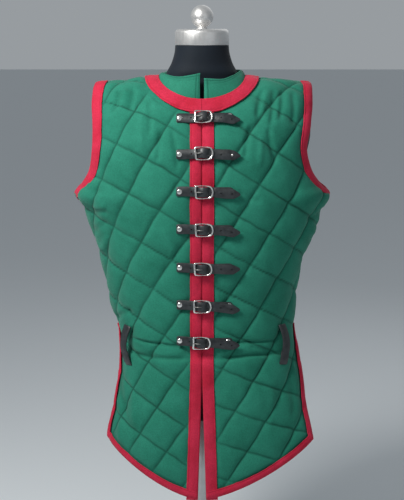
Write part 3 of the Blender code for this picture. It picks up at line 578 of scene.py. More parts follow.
def leather(name):
    """Waxed black leather: pebbled grain and uneven tone; its paler mix reads an edge mark that no piece
    stores.
    """
    made, nodes, links, shader = new_material(name)
    where = nodes.new("ShaderNodeTexCoord").outputs["Object"]
    grain = add_node(nodes, "ShaderNodeTexVoronoi", Scale=1100.0, feature="SMOOTH_F1")
    links.new(where, grain.inputs["Vector"])
    broad = noise(nodes, links, where, 130.0, 5.0, 0.65)
    colour = ramp(nodes, links, broad, ((0.32, (0.010, 0.012, 0.014)), (0.70, (0.034, 0.040, 0.045))))
    edge = add_node(nodes, "ShaderNodeAttribute", attribute_name="edge").outputs["Fac"]
    colour = mixed(nodes, links, edge, colour, (0.060, 0.066, 0.070, 1.0))
    links.new(colour, shader.inputs["Base Color"])
    gloss = ramp(nodes, links, broad, ((0.30, (0.36,) * 3), (0.75, (0.52,) * 3)))
    links.new(gloss, shader.inputs["Roughness"])
    shader.inputs["Specular IOR Level"].default_value = 0.55
    crease = noise(nodes, links, where, 260.0, 4.0, 0.6)
    bumped(nodes, links, shader, ((crease, 0.35, 0.0006), (grain.outputs["Distance"], 0.35, 0.0003)))
    return made


def metal(name, colour, low, high, stretch=(1.0, 1.0, 1.0), scale=300.0, strength=0.05, metallic=1.0):
    """Plated metal: uneven polish, with fine marks stretched along one direction."""
    made, nodes, links, shader = new_material(name)
    where = nodes.new("ShaderNodeTexCoord").outputs["Object"]
    mapping = add_node(nodes, "ShaderNodeMapping", Scale=stretch)
    links.new(where, mapping.inputs["Vector"])
    marks = noise(nodes, links, mapping.outputs["Vector"], scale, 4.0, 0.6)
    stain = noise(nodes, links, where, 60.0, 3.0)
    gloss = ramp(nodes, links, marks, ((0.25, (low,) * 3), (0.80, (high,) * 3)))
    links.new(gloss, shader.inputs["Roughness"])
    tint = ramp(nodes, links, stain, ((0.25, tuple(0.86 * c for c in colour)), (0.70, colour)))
    links.new(tint, shader.inputs["Base Color"])
    shader.inputs["Metallic"].default_value = metallic
    bumped(nodes, links, shader, ((marks, strength, 0.0004),))
    return made


def plain_cover(name, low, high, roughness):
    """The dress form's tight black cover: a fine knit with a slight sheen."""
    made, nodes, links, shader = new_material(name)
    where = nodes.new("ShaderNodeTexCoord").outputs["Object"]
    broad = noise(nodes, links, where, 18.0, 4.0)
    links.new(ramp(nodes, links, broad, ((0.30, low), (0.75, high))), shader.inputs["Base Color"])
    fill(shader, {"Roughness": roughness, "Sheen Weight": 0.06, "Specular IOR Level": 0.30})
    knit = threads(nodes, links, where, "Z", 0.0012, Distortion=2.5)
    bumped(nodes, links, shader, ((knit, 0.25, 0.0002), (broad, 0.2, 0.002)))
    return made


GREEN, COLLAR_GREEN, RED, LINING = (
    cotton(*row)
    for row in (
        # name, darker and lighter colour, sheen, colour of the stitching with painted shade in its grooves,
        # thread pitch
        ("green_cotton", (0.013, 0.178, 0.116), (0.022, 0.226, 0.152), 0.20, (0.002, 0.050, 0.032)),
        ("collar_cotton", (0.014, 0.175, 0.110), (0.022, 0.215, 0.140), 0.18, (0.004, 0.080, 0.050)),
        ("red_binding", (0.490, 0.012, 0.040), (0.620, 0.026, 0.074), 0.16, (0.330, 0.006, 0.026), 0.0008),
        ("grey_lining", (0.050, 0.040, 0.036), (0.080, 0.066, 0.058), 0.10),
    )
)
LEATHER = leather("black_leather")
NICKEL = metal("nickel", (0.90, 0.89, 0.87), 0.16, 0.32, metallic=0.92)
CAP_METAL = metal("cap_metal", (0.86, 0.85, 0.84), 0.32, 0.50, (1.0, 1.0, 0.12), 160.0, 0.10, 0.86)
# the prong's nickel has a darker base colour than the buckle's: painted shade, which keeps its highlight
# faint
PRONG_SHADE_METAL = metal("shaded_prong_nickel", (0.26, 0.26, 0.25), 0.42, 0.58)
STEEL = metal("stand_metal", (0.52, 0.52, 0.52), 0.28, 0.45, (1.0, 1.0, 0.05), 240.0, 0.08)
COVER = plain_cover("form_cover", (0.002, 0.006, 0.012), (0.004, 0.010, 0.019), 0.74)


# ---------------------------------------------------------------- quilted panels
CREST, SEAM_LEVEL, CLOTH_WALL, DEEPEST = 0.0040, -0.0012, 0.0070, 0.0105
PANEL_INSET = 0.0045  # the cloth stops this far inside its folded binding
SOFT_EDGE = 0.0075  # how fast the padding rises beside a seam or binding
SWELL, WRINKLE = 0.0011, 0.00035  # heights of the broad and the fine unevenness
PINCHED_QUILT, LINING_SHARE = 0.25, 0.45  # how much quilting shows in a pinched edge and inside
# DEEP_FOLD: how deep a fold is when its painted crease shade is full; DARKEST: the most that painted shade
# and stitching darken the cloth
THINNEST, DEEP_FOLD, DARKEST = 0.0030, 0.0042, 0.90


def panel_lines(side, face, counts):
    """Both ends (angles, rows) of the panel's grid lines, from hem to shoulder, and each line's rise."""
    skirt, body, neck = counts
    up = np.linspace(PANEL_INSET / (VENT_Z - HEM_MIDDLE_Z), 1, skirt, endpoint=False)
    z = HEM_MIDDLE_Z + (VENT_Z - HEM_MIDDLE_Z) * up
    start = [place(side, face, middle_gap(z, face), z)[0]]
    start_rows = [np.interp(z, FINE[:, 0], FINE_ROWS)]
    end = [side_angle(1.0) + (side_angle(ROW_VENT) - side_angle(1.0)) * up]
    end_rows = [1.0 + (ROW_VENT - 1.0) * up]
    foot = float(neck_place(side, face, 0, np.array(90.0))[1])
    share = np.linspace(0, 1, body, endpoint=False)
    rows = np.interp(share, (0, 0.5, 1), (ROW_VENT, ROW_ARMPIT, foot))
    middle = np.full(body, middle_gap(TOP_Z, face))
    start.append(place(side, face, middle, np.interp(rows, FINE_ROWS, FINE[:, 0]))[0])
    start_rows.append(rows)
    rows = np.interp(share, (0, 0.5, 1), (ROW_VENT, ROW_ARMPIT, ROW_SHOULDER))
    end.append(side_angle(rows))
    end_rows.append(rows)
    turn = np.linspace(90, 0, neck)
    angle, row = neck_place(side, face, 0, turn)
    start.append(angle)
    start_rows.append(row)
    rows = np.linspace(ROW_SHOULDER, ROW_TOP, neck)
    end.append(side_angle(rows))
    end_rows.append(rows)
    rises = np.concatenate([up, np.full(body + neck, np.nan)])
    return [np.concatenate(part) for part in (start, start_rows, end, end_rows)] + [rises]


def along_lines(side, face, lines, share):
    """Angles and rows at the given shares (lines, places) of the way along each grid line."""
    start, start_rows, end, end_rows, rises = (part[:, None] for part in lines)
    angle = start + (end - start) * share
    row = start_rows + (end_rows - start_rows) * share

    def height(across):
        low = hem_height(side, across)
        return low + (VENT_Z - low) * np.nan_to_num(rises)

    return angle, np.where(np.isnan(rises), row, row_over_hem(side, face, angle, height))


def half_panel(panel, side, face, counts, columns):
    """One half panel's grid: outer and inner points, places on the flat cloth, and dark marks of stitching
    with painted shade in grooves and folds.
    """
    lines = panel_lines(side, face, counts)
    fine = np.linspace(0, 1, 161)[None, :].repeat(len(lines[0]), 0)
    course = cloth(side, face, *along_lines(side, face, lines, fine))
    run = run_along(course)
    end_rows = lines[3]
    first = np.where(np.arange(len(course)) < sum(counts[:2]), PANEL_INSET if face < 0 else 0.0, 0.001)
    outside = np.clip(np.maximum(ROW_VENT - end_rows, end_rows - ROW_ARMPIT) / 0.25, 0, 1)
    last = run[:, -1] - PANEL_INSET * outside
    even = np.linspace(0, 1, columns + 1)
    wanted = first[:, None] + (last - first)[:, None] * even
    share = np.array([np.interp(w, r, fine[0]) for w, r in zip(wanted, run)])
    angle, row = along_lines(side, face, lines, share)
    points, normals = cloth(side, face, angle, row), cloth_normals(side, face, angle, row)
    across, up = flat_place(side, face, angle, row)
    band = np.where(end_rows < ROW_VENT, VENT_BAND, np.where(end_rows > ROW_ARMPIT, ARM_BAND[side], 0.0))
    to_side = run[:, -1:] - wanted - band[:, None]
    x, y, z = points[..., 0], points[..., 1], points[..., 2]
    to_hem = z - hem_height(side, np.abs(x) / half_width(side, row)) - HEM_BAND
    seam = TOP_Z - SHOULDER_DROP * (x / half_width(side, ROW_TOP)) ** 2
    fall = np.maximum(seam - z, 0)
    ring = np.maximum(np.hypot(x / NECK_HALF[1], fall / NECK_FALL[face][1]), 1e-6)
    to_neck = (1 - 1 / ring) * np.hypot(x, fall)
    to_shoulder = np.where(z > 0.90, np.abs(y), 1.0)
    near = np.minimum.reduce([to_side, to_hem, to_neck, to_shoulder])
    if face < 0:
        near = np.minimum(near, np.abs(x) - middle_gap(z, face) - EDGE_BAND)
    pinch = np.exp(-np.maximum(near, 0) / SOFT_EDGE)
    quilt, stitch_shade = quilt_depth(panel, across, up)
    folds = fold_height(panel, x, z)
    swell = SWELL * waves(across, up, (0.11, 0.17, 0.26), 21)
    swell = swell + WRINKLE * waves(across, up, (0.017, 0.026, 0.038), 22)
    puff = CREST + quilt + folds + swell
    height = puff * (1 - pinch) + SEAM_LEVEL * pinch + PINCHED_QUILT * quilt * pinch
    inner = -CLOTH_WALL - LINING_SHARE * (quilt + folds) * (1 - pinch)
    inner = np.minimum(inner, height - THINNEST)
    # painted shade: fold troughs and the seams' lines darken the cloth's colour, less so at a pinched edge
    crease = np.clip(-folds / DEEP_FOLD, 0, 1) ** 2
    groove = np.clip((stitch_shade + 0.25 * crease) * (1 - 0.7 * pinch), 0, DARKEST)
    shift = np.array((0, face * GAP / 2, 0))
    return (
        points + normals * height[..., None] + shift,
        points + normals * inner[..., None] + shift,
        np.stack([across, up], -1),
        groove,
        points,
    )


def quilted_panel(name, halves):
    """A closed quilted panel from one or two half grids, which share their middle line."""
    parts, quads, count = [], [], 0
    for side, face, rows, columns in halves:
        grid = half_panel(name, side, face, rows, columns)
        shape = grid[0].shape[:2]
        cells = grid_quads(*shape) + count
        quads.append(cells if side * face < 0 else cells[:, ::-1])
        parts.append([part.reshape(shape[0] * shape[1], -1) for part in grid])
        count += shape[0] * shape[1]
    outer, inner, places, groove, base = (np.concatenate(column) for column in zip(*parts))
    quads = np.concatenate(quads)
    _, first, merged = np.unique(np.round(base, 6), axis=0, return_index=True, return_inverse=True)
    outer, inner, places, groove = outer[first], inner[first], places[first], groove[first]
    quads = merged.ravel()[quads]
    total = len(outer)
    edges = np.concatenate([quads[:, [k, (k + 1) % 4]] for k in range(4)])
    lone = edges[~np.isin(edges[:, 0] * total + edges[:, 1], edges[:, 1] * total + edges[:, 0])]
    rim = np.stack([lone[:, 1], lone[:, 0], lone[:, 0] + total, lone[:, 1] + total], 1)
    faces = np.concatenate([quads, quads[:, ::-1] + total, rim])
    points = np.concatenate([outer, inner])
    piece = mesh_piece(name + "_quilted", points, faces, (GREEN, LINING))
    set_flat(piece.data, np.concatenate([places, places]))
    set_mark(piece.data, "groove", np.concatenate([groove[:, 0], groove[:, 0]]))
    lining = np.zeros(len(piece.data.polygons), np.int32)
    lining[len(quads) : 2 * len(quads)] = 1
    piece.data.polygons.foreach_set("material_index", lining)
    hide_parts(name)


def make_panels():
    quilted_panel("front_left", [(-1, -1, (140, 190, 26), 128)])
    quilted_panel("front_right", [(1, -1, (140, 190, 26), 128)])
    quilted_panel("back_panel", [(s, 1, (118, 158, 22), 78) for s in (-1, 1)])


# ---------------------------------------------------------------- red bindings
Course = namedtuple("Course", "side face outer inner")  # outer and inner: (angles, rows) of both edges
BAND_WALL, FOLD_RADIUS, FOLD_HEIGHT = 0.0011, 0.0036, -0.0026
NECK_BAND = 0.0245
RIPPLE, RIPPLE_LENGTHS = 0.0004, (0.011, 0.017, 0.029, 0.052)


def joined(courses):
    """Several stretches as one course, one after another."""
    sides, faces = (np.concatenate([getattr(one, key) for one in courses]) for key in ("side", "face"))
    edges = ([getattr(one, key) for one in courses] for key in ("outer", "inner"))
    return Course(sides, faces, *(tuple(np.concatenate(part) for part in zip(*edge)) for edge in edges))


def stretch(side, face, outer, inner, backwards=False):
    """A stretch of a course on one half panel."""
    count = len(outer[0])
    step = -1 if backwards else 1
    pair = [tuple(np.asarray(part, float)[::step] for part in edge) for edge in (outer, inner)]
    return Course(np.full(count, side), np.full(count, face), *pair)


def bend(middle, radius, degrees):
    """Points round the fold of a binding over the edge."""
    turns = [math.radians(a) for a in degrees]
    return [(middle - radius * math.cos(a), FOLD_HEIGHT + radius * math.sin(a)) for a in turns]


def folded_profile(width):
    """The section of a binding folded round an edge: (distance in from the edge, height)."""
    top = [(1.0, 0.0006), (1.012, 0.0012), (0.97, 0.0019), (0.91, 0.0016), (0.87, 0.0013), (0.82, 0.0017)]
    loop = [(share * width, height) for share, height in top]
    loop += [(0.55 * width, 0.0021), (0.30 * width, 0.0018), (0.0038, 0.0010)]
    loop += bend(0.0034, FOLD_RADIUS, (70, 35, 0, -35, -70))
    loop += [(0.0038, -0.0063), (0.30 * width, -0.0073), (0.97 * width, -0.0084), (width, -0.0079)]
    loop += [(0.97 * width, -0.0073), (0.30 * width, -0.0062), (0.0040, -0.0051)]
    loop += bend(0.0038, FOLD_RADIUS - BAND_WALL, (-50, 0, 50))
    loop += [(0.0040, -0.0001), (0.30 * width, 0.0007), (0.97 * width, 0.0005)]
    return loop


def tape_profile(width):
    """The section of a flat tape with both edges turned under."""
    edge = [(0.0, 0.0006), (-0.0004, 0.0013), (0.0007, 0.0021), (0.0021, 0.0019), (0.0031, 0.0015)]
    edge.append((0.0043, 0.0020))
    other = [(width - across, height) for across, height in edge[::-1]]
    loop = edge + [(0.35 * width, 0.0023), (0.65 * width, 0.0023)] + other
    return loop + [(0.65 * width, 0.0008), (0.35 * width, 0.0008)]


def band_points(course, distance, height, width):
    """Points at a distance in from the course's outer edge and a height over the cloth."""
    share = np.maximum(distance, 0) / width
    spot = (course.side, course.face, *between(course, share))
    points, normals = cloth(*spot), cloth_normals(*spot)
    if distance < 0:
        outward = unit(points - cloth(course.side, course.face, *between(course, 0.15)))
        points = points + outward * -distance
    return points + normals * np.asarray(height)[..., None]


def quilt_under(course, share):
    """The quilting grooves' depth under a band, at a share of its width."""
    angle, row = between(course, share)
    depth = np.zeros(len(angle))
    for side in (-1, 1):
        for face in (-1, 1):
            here = (course.side == side) & (course.face == face)
            if here.any():
                name = "back_panel" if face > 0 else ("front_left" if side < 0 else "front_right")
                depth[here] = quilt_depth(name, *flat_place(side, face, angle[here], row[here]))[0]
    return depth


def binding(name, course, width, seed, closed=False, lift=0.0, section=folded_profile):
    """A cloth band swept along its course, rippled along its stitching."""
    profile = section(width)
    middle = cloth(course.side, course.face, *(0.5 * (a + b) for a, b in zip(course.outer, course.inner)))
    run = run_along(middle)
    loops, marks, flat = [], [], []
    for distance, height in profile:
        share = min(max(distance / width, 0), 1)
        top = height > 0
        pucker = waves(run, distance * 1.5 + run * 0, RIPPLE_LENGTHS, seed) * RIPPLE * (1.0 if top else 0.4)
        stray = 0.00045 * waves(run, 0 * run, (0.037, 0.071, 0.016), seed + 1) * (share > 0.75)
        sink = 0.30 * quilt_under(course, share) * top * (0.35 + 0.65 * share)
        loops.append(band_points(course, distance, height + lift * top + pucker + sink, width))
        if share > 0.75:
            here, ahead = (band_points(course, distance + step, height, width) for step in (0.0, 0.001))
            loops[-1] = loops[-1] + unit(ahead - here) * stray[:, None]
        # a darker line along the topstitching at 0.87 of the width: the thread plus painted shade in its dip
        marks.append(np.full(len(run), 0.55 if top and abs(share - 0.87) < 0.02 else 0.0))
        flat.append(np.stack([run, np.full(len(run), distance)], -1))
    loops = np.stack(loops, 1)
    points, faces = swept(loops, closed)
    piece = closed_piece(name + "_cloth", points, faces, RED, "red_binding", name)
    set_flat(piece.data, np.stack(flat, 1).reshape(-1, 2))
    set_mark(piece.data, "groove", np.stack(marks, 1).ravel())


def between(course, share):
    """The angles and rows at a share of the way from a course's outer edge to its inner one."""
    return [a + (b - a) * share for a, b in zip(course.outer, course.inner)]


def edge_course(side):
    """The front edge, from the hem up to under the neck binding."""
    z = np.linspace(HEM_MIDDLE_Z + 0.001, TOP_Z - NECK_FALL[-1][1] + 0.010, 330)
    start = middle_gap(z, -1)
    return stretch(side, -1, place(side, -1, start, z), place(side, -1, start + EDGE_BAND, z))


def arm_inner(side, face, rows):
    """The armhole binding's inner edge, a band's width in from the edge over the surface."""
    angle = side_angle(rows)
    spot = [angle.copy(), rows.astype(float).copy()]
    above, below = np.minimum(rows + 0.1, ROW_TOP), np.maximum(rows - 0.1, ROW_ARMPIT)
    along = unit(cloth(side, face, side_angle(above), above) - cloth(side, face, side_angle(below), below))
    lower = cloth(side, face, angle - 0.05, rows) - cloth(side, face, angle, rows)
    inward = unit(lower - along * (lower * along).sum(-1, keepdims=True))
    steps, nudge = 6, 0.001
    for _ in range(steps):
        here = cloth(side, face, *spot)
        turn = (here - cloth(side, face, spot[0] - nudge, spot[1])) / nudge
        climb = (here - cloth(side, face, spot[0], spot[1] - nudge)) / nudge
        for k in range(len(rows)):
            moves = np.stack([turn[k], climb[k]], 1)
            change = np.linalg.lstsq(moves, inward[k] * ARM_BAND[side] / steps, rcond=None)[0]
            spot[0][k] += change[0]
            spot[1][k] += change[1]
    return spot


ARM_ROWS = np.array((11, 11.35, 11.9, 12.8, 14, 15.2, 16.2, 17.2, 18.2, 19.2, 20))


def arm_course(side):
    """The armhole's edge: up the front from the armpit, over the shoulder and down the back."""
    under = np.interp(SECTIONS[int(ROW_ARMPIT)][0] - ARM_BAND[side], FINE[:, 0], FINE_ROWS)
    halves = []
    for face in (-1, 1):
        angle, row = arm_inner(side, face, ARM_ROWS[1:-1])
        tip = np.abs(cloth(side, face, side_angle(ROW_TOP), ROW_TOP)[0]) - ARM_BAND[side]
        top = np.arcsin((tip / half_width(side, ROW_TOP)) ** (ROUNDNESS / 2))
        inner = (np.concatenate([[math.pi / 2], angle, [top]]), np.concatenate([[under], row, [ROW_TOP]]))
        outer = (side_angle(ARM_ROWS), ARM_ROWS)
        knots, fine = np.arange(len(ARM_ROWS)), np.linspace(0, len(ARM_ROWS) - 1, 150)
        halves.append([tuple(rounded_interp(fine, knots, part) for part in edge) for edge in (outer, inner)])
    front = stretch(side, -1, *halves[0])
    back = stretch(side, 1, *(tuple(part[:-1] for part in edge) for edge in halves[1]), backwards=True)
    return joined([front, part_of(back, slice(None, -1))])


def rounded_interp(x, knots, values):
    """A Catmull-Rom curve through values at evenly numbered knots."""
    values = np.asarray(values, float)
    low = np.minimum(x.astype(int), len(knots) - 2)
    return spline(*(values[np.clip(low + k, 0, len(knots) - 1)] for k in (-1, 0, 1, 2)), x - low)


def inward_angle(side, face, rows, width):
    """The angles a width in from the side edge, measured over the surface."""
    back = np.linspace(0, 0.5, 80)[None, :]
    angles = side_angle(rows)[:, None] - back
    points = cloth(side, face, angles, rows[:, None])
    return side_angle(rows) - np.array([np.interp(width, run, back[0]) for run in run_along(points)])


def inner_corner(side, face):
    """The angle and row of the skirt binding's inner corner, over the hem's corner."""
    row = np.array([1.3])
    for _ in range(4):
        angle = inward_angle(side, face, row, VENT_BAND)
        row = row_over_hem(side, face, angle, lambda across: hem_height(side, across) + HEM_BAND)
    return float(angle[0]), float(row[0])


def hem_edges(side, face, share):
    """Angles and rows along the hem's edge and its binding's inner edge, middle to corner."""
    start = float(place(side, face, middle_gap(HEM_MIDDLE_Z, face), HEM_MIDDLE_Z)[0])
    edges = []
    for end, rise in ((float(side_angle(1.0)), 0.0), (inner_corner(side, face)[0], HEM_BAND)):
        angle = start + (end - start) * share
        row = row_over_hem(side, face, angle, lambda across: hem_height(side, across) + rise)
        edges.append((angle, row))
    return edges


def vent_edges(side, face, share):
    """The same up the vent, from the hem's corner to the vent's top."""
    low = float(row_over_hem(side, face, np.array([side_angle(1.0)]), lambda a: hem_height(side, a))[0])
    rows = low + (ROW_VENT - low) * share
    low_in = inner_corner(side, face)[1]
    rows_in = low_in + (ROW_VENT - low_in) * share
    return (side_angle(rows), rows), (inward_angle(side, face, rows_in, VENT_BAND), rows_in)


def skirt_course(side, face):
    """One hem from the middle to its corner, then up its vent."""
    hem = stretch(side, face, *hem_edges(side, face, np.linspace(0, 1, 130) ** 0.9))
    vent = stretch(side, face, *vent_edges(side, face, np.linspace(0, 1, 110)[1:]))
    return joined([hem, vent])


def part_of(course, which):
    """The stations of a course that a slice picks."""
    edges = (tuple(part[which] for part in edge) for edge in (course.outer, course.inner))
    return Course(course.side[which], course.face[which], *edges)


def neck_course():
    """The neckline, from the centre front right, round the back, to the centre front left."""
    parts = []
    for side, face, backwards in ((1, -1, False), (1, 1, True), (-1, 1, False), (-1, -1, True)):
        turn = np.linspace(90, 0, 90)
        if parts:
            turn = turn[:-1] if backwards else turn[1:]
        edges = (neck_place(side, face, edge, turn) for edge in (0, 1))
        parts.append(stretch(side, face, *edges, backwards))
    return joined(parts)


def make_bindings():
    for number, (name, side) in enumerate((("left", -1), ("right", 1))):
        binding(f"edge_band_{name}", edge_course(side), EDGE_BAND, 31 + number)
        binding(f"armhole_band_{name}", arm_course(side), ARM_BAND[side], 41 + number, closed=True)
        binding(f"skirt_band_{name}", skirt_course(side, -1), HEM_BAND, 51 + number, lift=0.0014)
    left, right = skirt_course(-1, 1), skirt_course(1, 1)
    whole = joined([part_of(left, slice(None, 0, -1)), right])
    binding("skirt_band_back", whole, HEM_BAND, 61)
    binding("neck_band", neck_course(), NECK_BAND, 71, lift=0.0010, section=tape_profile)


# ---------------------------------------------------------------- collar
COLLAR_WALL, COLLAR_GAP = 0.0050, 0.0045
COLLAR_FOOT = 0.0070  # how far the collar reaches under the neck binding
END_STITCH, TOP_STITCH, LOW_STITCH = 0.0052, 0.0047, 0.0108  # the stitch lines' distances from its edges


def collar_sides():
    """Base points, top points and the distance from the front edge, right front to left front."""
    course = neck_course()
    base = cloth(course.side, course.face, *course.outer)
    half = [COLLAR_TOP_DEPTH[-1] if y < 0 else COLLAR_TOP_DEPTH[1] for y in base[:, 1]]
    near = (np.abs(base[:, 0]) < COLLAR_GAP) & (base[:, 1] < 0)
    base[near, 0] = COLLAR_GAP * course.side[near]
    turn = np.arctan2(base[:, 1] / half, base[:, 0] / COLLAR_TOP_HALF)
    share, stops = np.abs(np.cos(turn)), np.array(COLLAR_STOPS)
    top_z = np.zeros(len(share))
    for (side, face), heights in COLLAR_TOP_Z.items():
        here = (course.side == side) & (course.face == face)
        top_z[here] = rounded_interp(np.interp(share[here], stops, np.arange(5.0)), stops, heights)
    top = np.stack([COLLAR_TOP_HALF * np.cos(turn), half * np.sin(turn), top_z], -1)
    top[near, 0] = COLLAR_GAP * course.side[near]
    keep = ~near
    keep[0] = keep[-1] = True
    base, top = base[keep], top[keep]
    run = run_along(top)
    return base, top, run, np.minimum(run, run[-1] - run)


def make_collar():
    base, top, run, front = collar_sides()
    lean = top - base
    length = np.linalg.norm(lean, axis=1, keepdims=True)
    lean = lean / length
    ahead = unit(np.gradient(top, axis=0))
    outward = toward(np.cross(ahead, lean), top * (1, 1, 0))
    wall = COLLAR_WALL
    end = [(-0.0150, 0.0), (-0.0118, 0.0), (-0.0108, -0.0003), (-0.0098, 0.0), (-0.0058, 0.0)]
    end += [(-0.0047, -0.0008), (-0.0037, 0.0), (-0.0018, -0.0002), (-0.0004, -0.0012), (0.0, -wall / 2)]
    end += [(-0.0004, -wall + 0.0012), (-0.0018, -wall + 0.0002), (-0.0050, -wall)]
    loops, marks, flat = [], [], []
    tuck = np.exp(-front / 0.0016)[:, None] * 0.0022
    loops.append((np.full_like(length, -COLLAR_FOOT), np.zeros_like(length)))
    loops += [(share * length, np.zeros_like(length)) for share in (0.1, 0.2, 0.35, 0.5)]
    squeeze = np.clip(length / 0.040, 0, 1)
    for step, out in end:
        loops.append((length + step * squeeze, np.full_like(length, out)))
    for share in (0.5, 0.2):
        loops.append((share * length, np.full_like(length, -wall)))
    loops.append((np.full_like(length, -COLLAR_FOOT), np.full_like(length, -wall)))
    points = []
    for along, out in loops:
        share = np.clip(along / length, 0, 1)
        belly = 0.0016 * np.sin(share * math.pi)
        wave = 0.0011 * waves(run[:, None], along, (0.043, 0.061, 0.09, 0.027), 81) * share
        pressed = np.clip(out + wall, 0, wall) / wall
        stitch = -0.0007 * np.exp(-(((front[:, None] - END_STITCH) / 0.0009) ** 2))
        height = out + belly + wave + stitch * (pressed > 0.9) + tuck * (1 - 2 * pressed)
        points.append(base + lean * along + outward * height)
        # the stitch lines darken the collar's colour: the thread plus painted shade where it sinks in
        over = (along - length) / squeeze
        near = np.exp(-(((over + TOP_STITCH) / 0.0011) ** 2))
        near = near + 0.3 * np.exp(-(((over + LOW_STITCH) / 0.0011) ** 2))
        near = near + np.exp(-(((front[:, None] - END_STITCH) / 0.0010) ** 2))
        marks.append((np.clip(near, 0, 1) * 0.7 * (pressed > 0.8))[:, 0])
        flat.append(np.stack([run, along[:, 0]], -1))
    points, faces = swept(np.stack(points, 1), False)
    piece = closed_piece("collar_cloth", points, faces, COLLAR_GREEN, "collar_cotton", "collar")
    set_flat(piece.data, np.stack(flat, 1).reshape(-1, 2))
    set_mark(piece.data, "groove", np.stack(marks, 1).ravel())


# ---------------------------------------------------------------- straps and buckles
Strap = namedtuple("Strap", "z shift start droop chape rivet_x")
STRAPS = (
    # height of the buckle and its sideways shift; how far the riveted end lies above it and the
    # tip below it; how far the chape's end lies above it; where a chape's rivet shows
    Strap(0.8870, 0.0024, -0.0008, 0.0050, 0.0014, 0.0490),
    Strap(0.8262, 0.0032, -0.0012, 0.0040, -0.0010, 0.0520),
    Strap(0.7600, 0.0034, 0.0004, 0.0044, 0.0000, None),
    Strap(0.6930, 0.0036, 0.0008, 0.0048, -0.0004, None),
    Strap(0.6225, 0.0016, 0.0014, 0.0012, 0.0006, None),
    Strap(0.5530, 0.0004, 0.0020, 0.0076, -0.0014, 0.0485),
    Strap(0.4870, -0.0010, 0.0022, 0.0060, -0.0008, 0.0465),
)
STRAP_WIDTH, STRAP_WALL = 0.0175, 0.0020
BILLET = np.array(
    (
        # x along the garment; height of the strap's middle over the panel; share of the shift
        (-0.0450, 0.0034, 0.0),
        (-0.0300, 0.0036, 0.0),
        (-0.0200, 0.0042, 1.0),
        (-0.0120, 0.0060, 1.0),
        (-0.0060, 0.0106, 1.0),
        (0.0000, 0.0122, 1.0),
        (0.0050, 0.0110, 1.0),
        (0.0096, 0.0066, 1.0),
        (0.0180, 0.0063, 1.0),
        (0.0300, 0.0068, 0.0),
        (0.0420, 0.0080, 0.0),
        (0.0540, 0.0080, 0.0),
        (0.0665, 0.0072, 0.0),
    )
)
DROOP_FROM, TIP_LENGTH = 0.0115, 0.0120
HOLES, HOLE_RADIUS = (-0.0215, 0.0335, 0.0525), 0.0013
CHAPE_END = 0.0540
BAR_OUT, BAR_RADIUS, CHAPE_EYE = 0.0066, 0.0012, 0.0031
CHAPE_LOW, CHAPE_WALL = BAR_OUT - CHAPE_EYE, 0.0016
BUCKLE_HALF_WIDTH, BUCKLE_HALF_HEIGHT, BUCKLE_OUT = 0.0142, 0.0109, 0.0096
BUCKLE_LEAN = (0.0001, 0.0010, 0.0008, 0.0007, 0.0007, 0.0003, -0.0003)  # of the left bar's top
RIVET_RADIUS, RIVET_X, RIVET_RISE, HIDDEN_RIVET_RISE = 0.0050, -0.0395, 0.5, 0.34
STUD, STUD_RADIUS = 2, 0.0021  # the strap whose tip has a small stud of its own


def front_frames(x, z):
    """The front cloth's points at x and z, their outward directions, and the way up along it."""
    side = np.where(x < 0, -1, 1)
    angle, row = place(side, -1, np.abs(x), z)
    outward = cloth_normals(side, -1, angle, row)
    here = cloth(side, -1, angle, row)
    across = np.zeros_like(here)
    across[..., 0] = 1.0
    across = unit(across - outward * (across * outward).sum(-1, keepdims=True))
    return here, outward, np.cross(outward, across) * -1.0


def strap_loops(here, outward, up, half, wall):
    """Loops round a flat strap with eased edges."""
    ease = 0.0005
    rim = [(-1, -1, 0, ease), (-1, -1, ease, 0), (1, -1, -ease, 0), (1, -1, 0, ease)]
    rim += [(1, 1, 0, -ease), (1, 1, -ease, 0), (0, 1.12, 0, 0), (-1, 1, ease, 0), (-1, 1, 0, -ease)]
    loops = []
    for across, level, move, sink in rim:
        width = (half * across + move)[:, None]
        loops.append(here + up * width + outward * (level * wall / 2 + sink))
    return np.stack(loops, 1)


def leather_piece(name, points, faces, cad_node, cutters=()):
    """A leather piece: closed, and its holes punched right through."""
    piece = mesh_piece(name, points, faces, (LEATHER,))
    face_outward(piece)
    if cutters:
        tool = bmesh.new()
        for matrix in cutters:
            size = {"radius1": HOLE_RADIUS, "radius2": HOLE_RADIUS, "depth": 0.01}
            bmesh.ops.create_cone(tool, cap_ends=True, segments=14, matrix=matrix, **size)
        tool_mesh = bpy.data.meshes.new("punch")
        tool.to_mesh(tool_mesh)
        tool.free()
        punch = linked("punch", tool_mesh)
        cut = piece.modifiers.new("punched", "BOOLEAN")
        cut.operation, cut.object = "DIFFERENCE", punch
        bpy.context.view_layer.update()
        made = bpy.data.meshes.new_from_object(piece.evaluated_get(bpy.context.evaluated_depsgraph_get()))
        piece.modifiers.clear()
        piece.data = made
        made.shade_smooth()
        made.set_sharp_from_angle(angle=math.radians(50))
        bpy.data.objects.remove(punch)
    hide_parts(cad_node)
    return piece


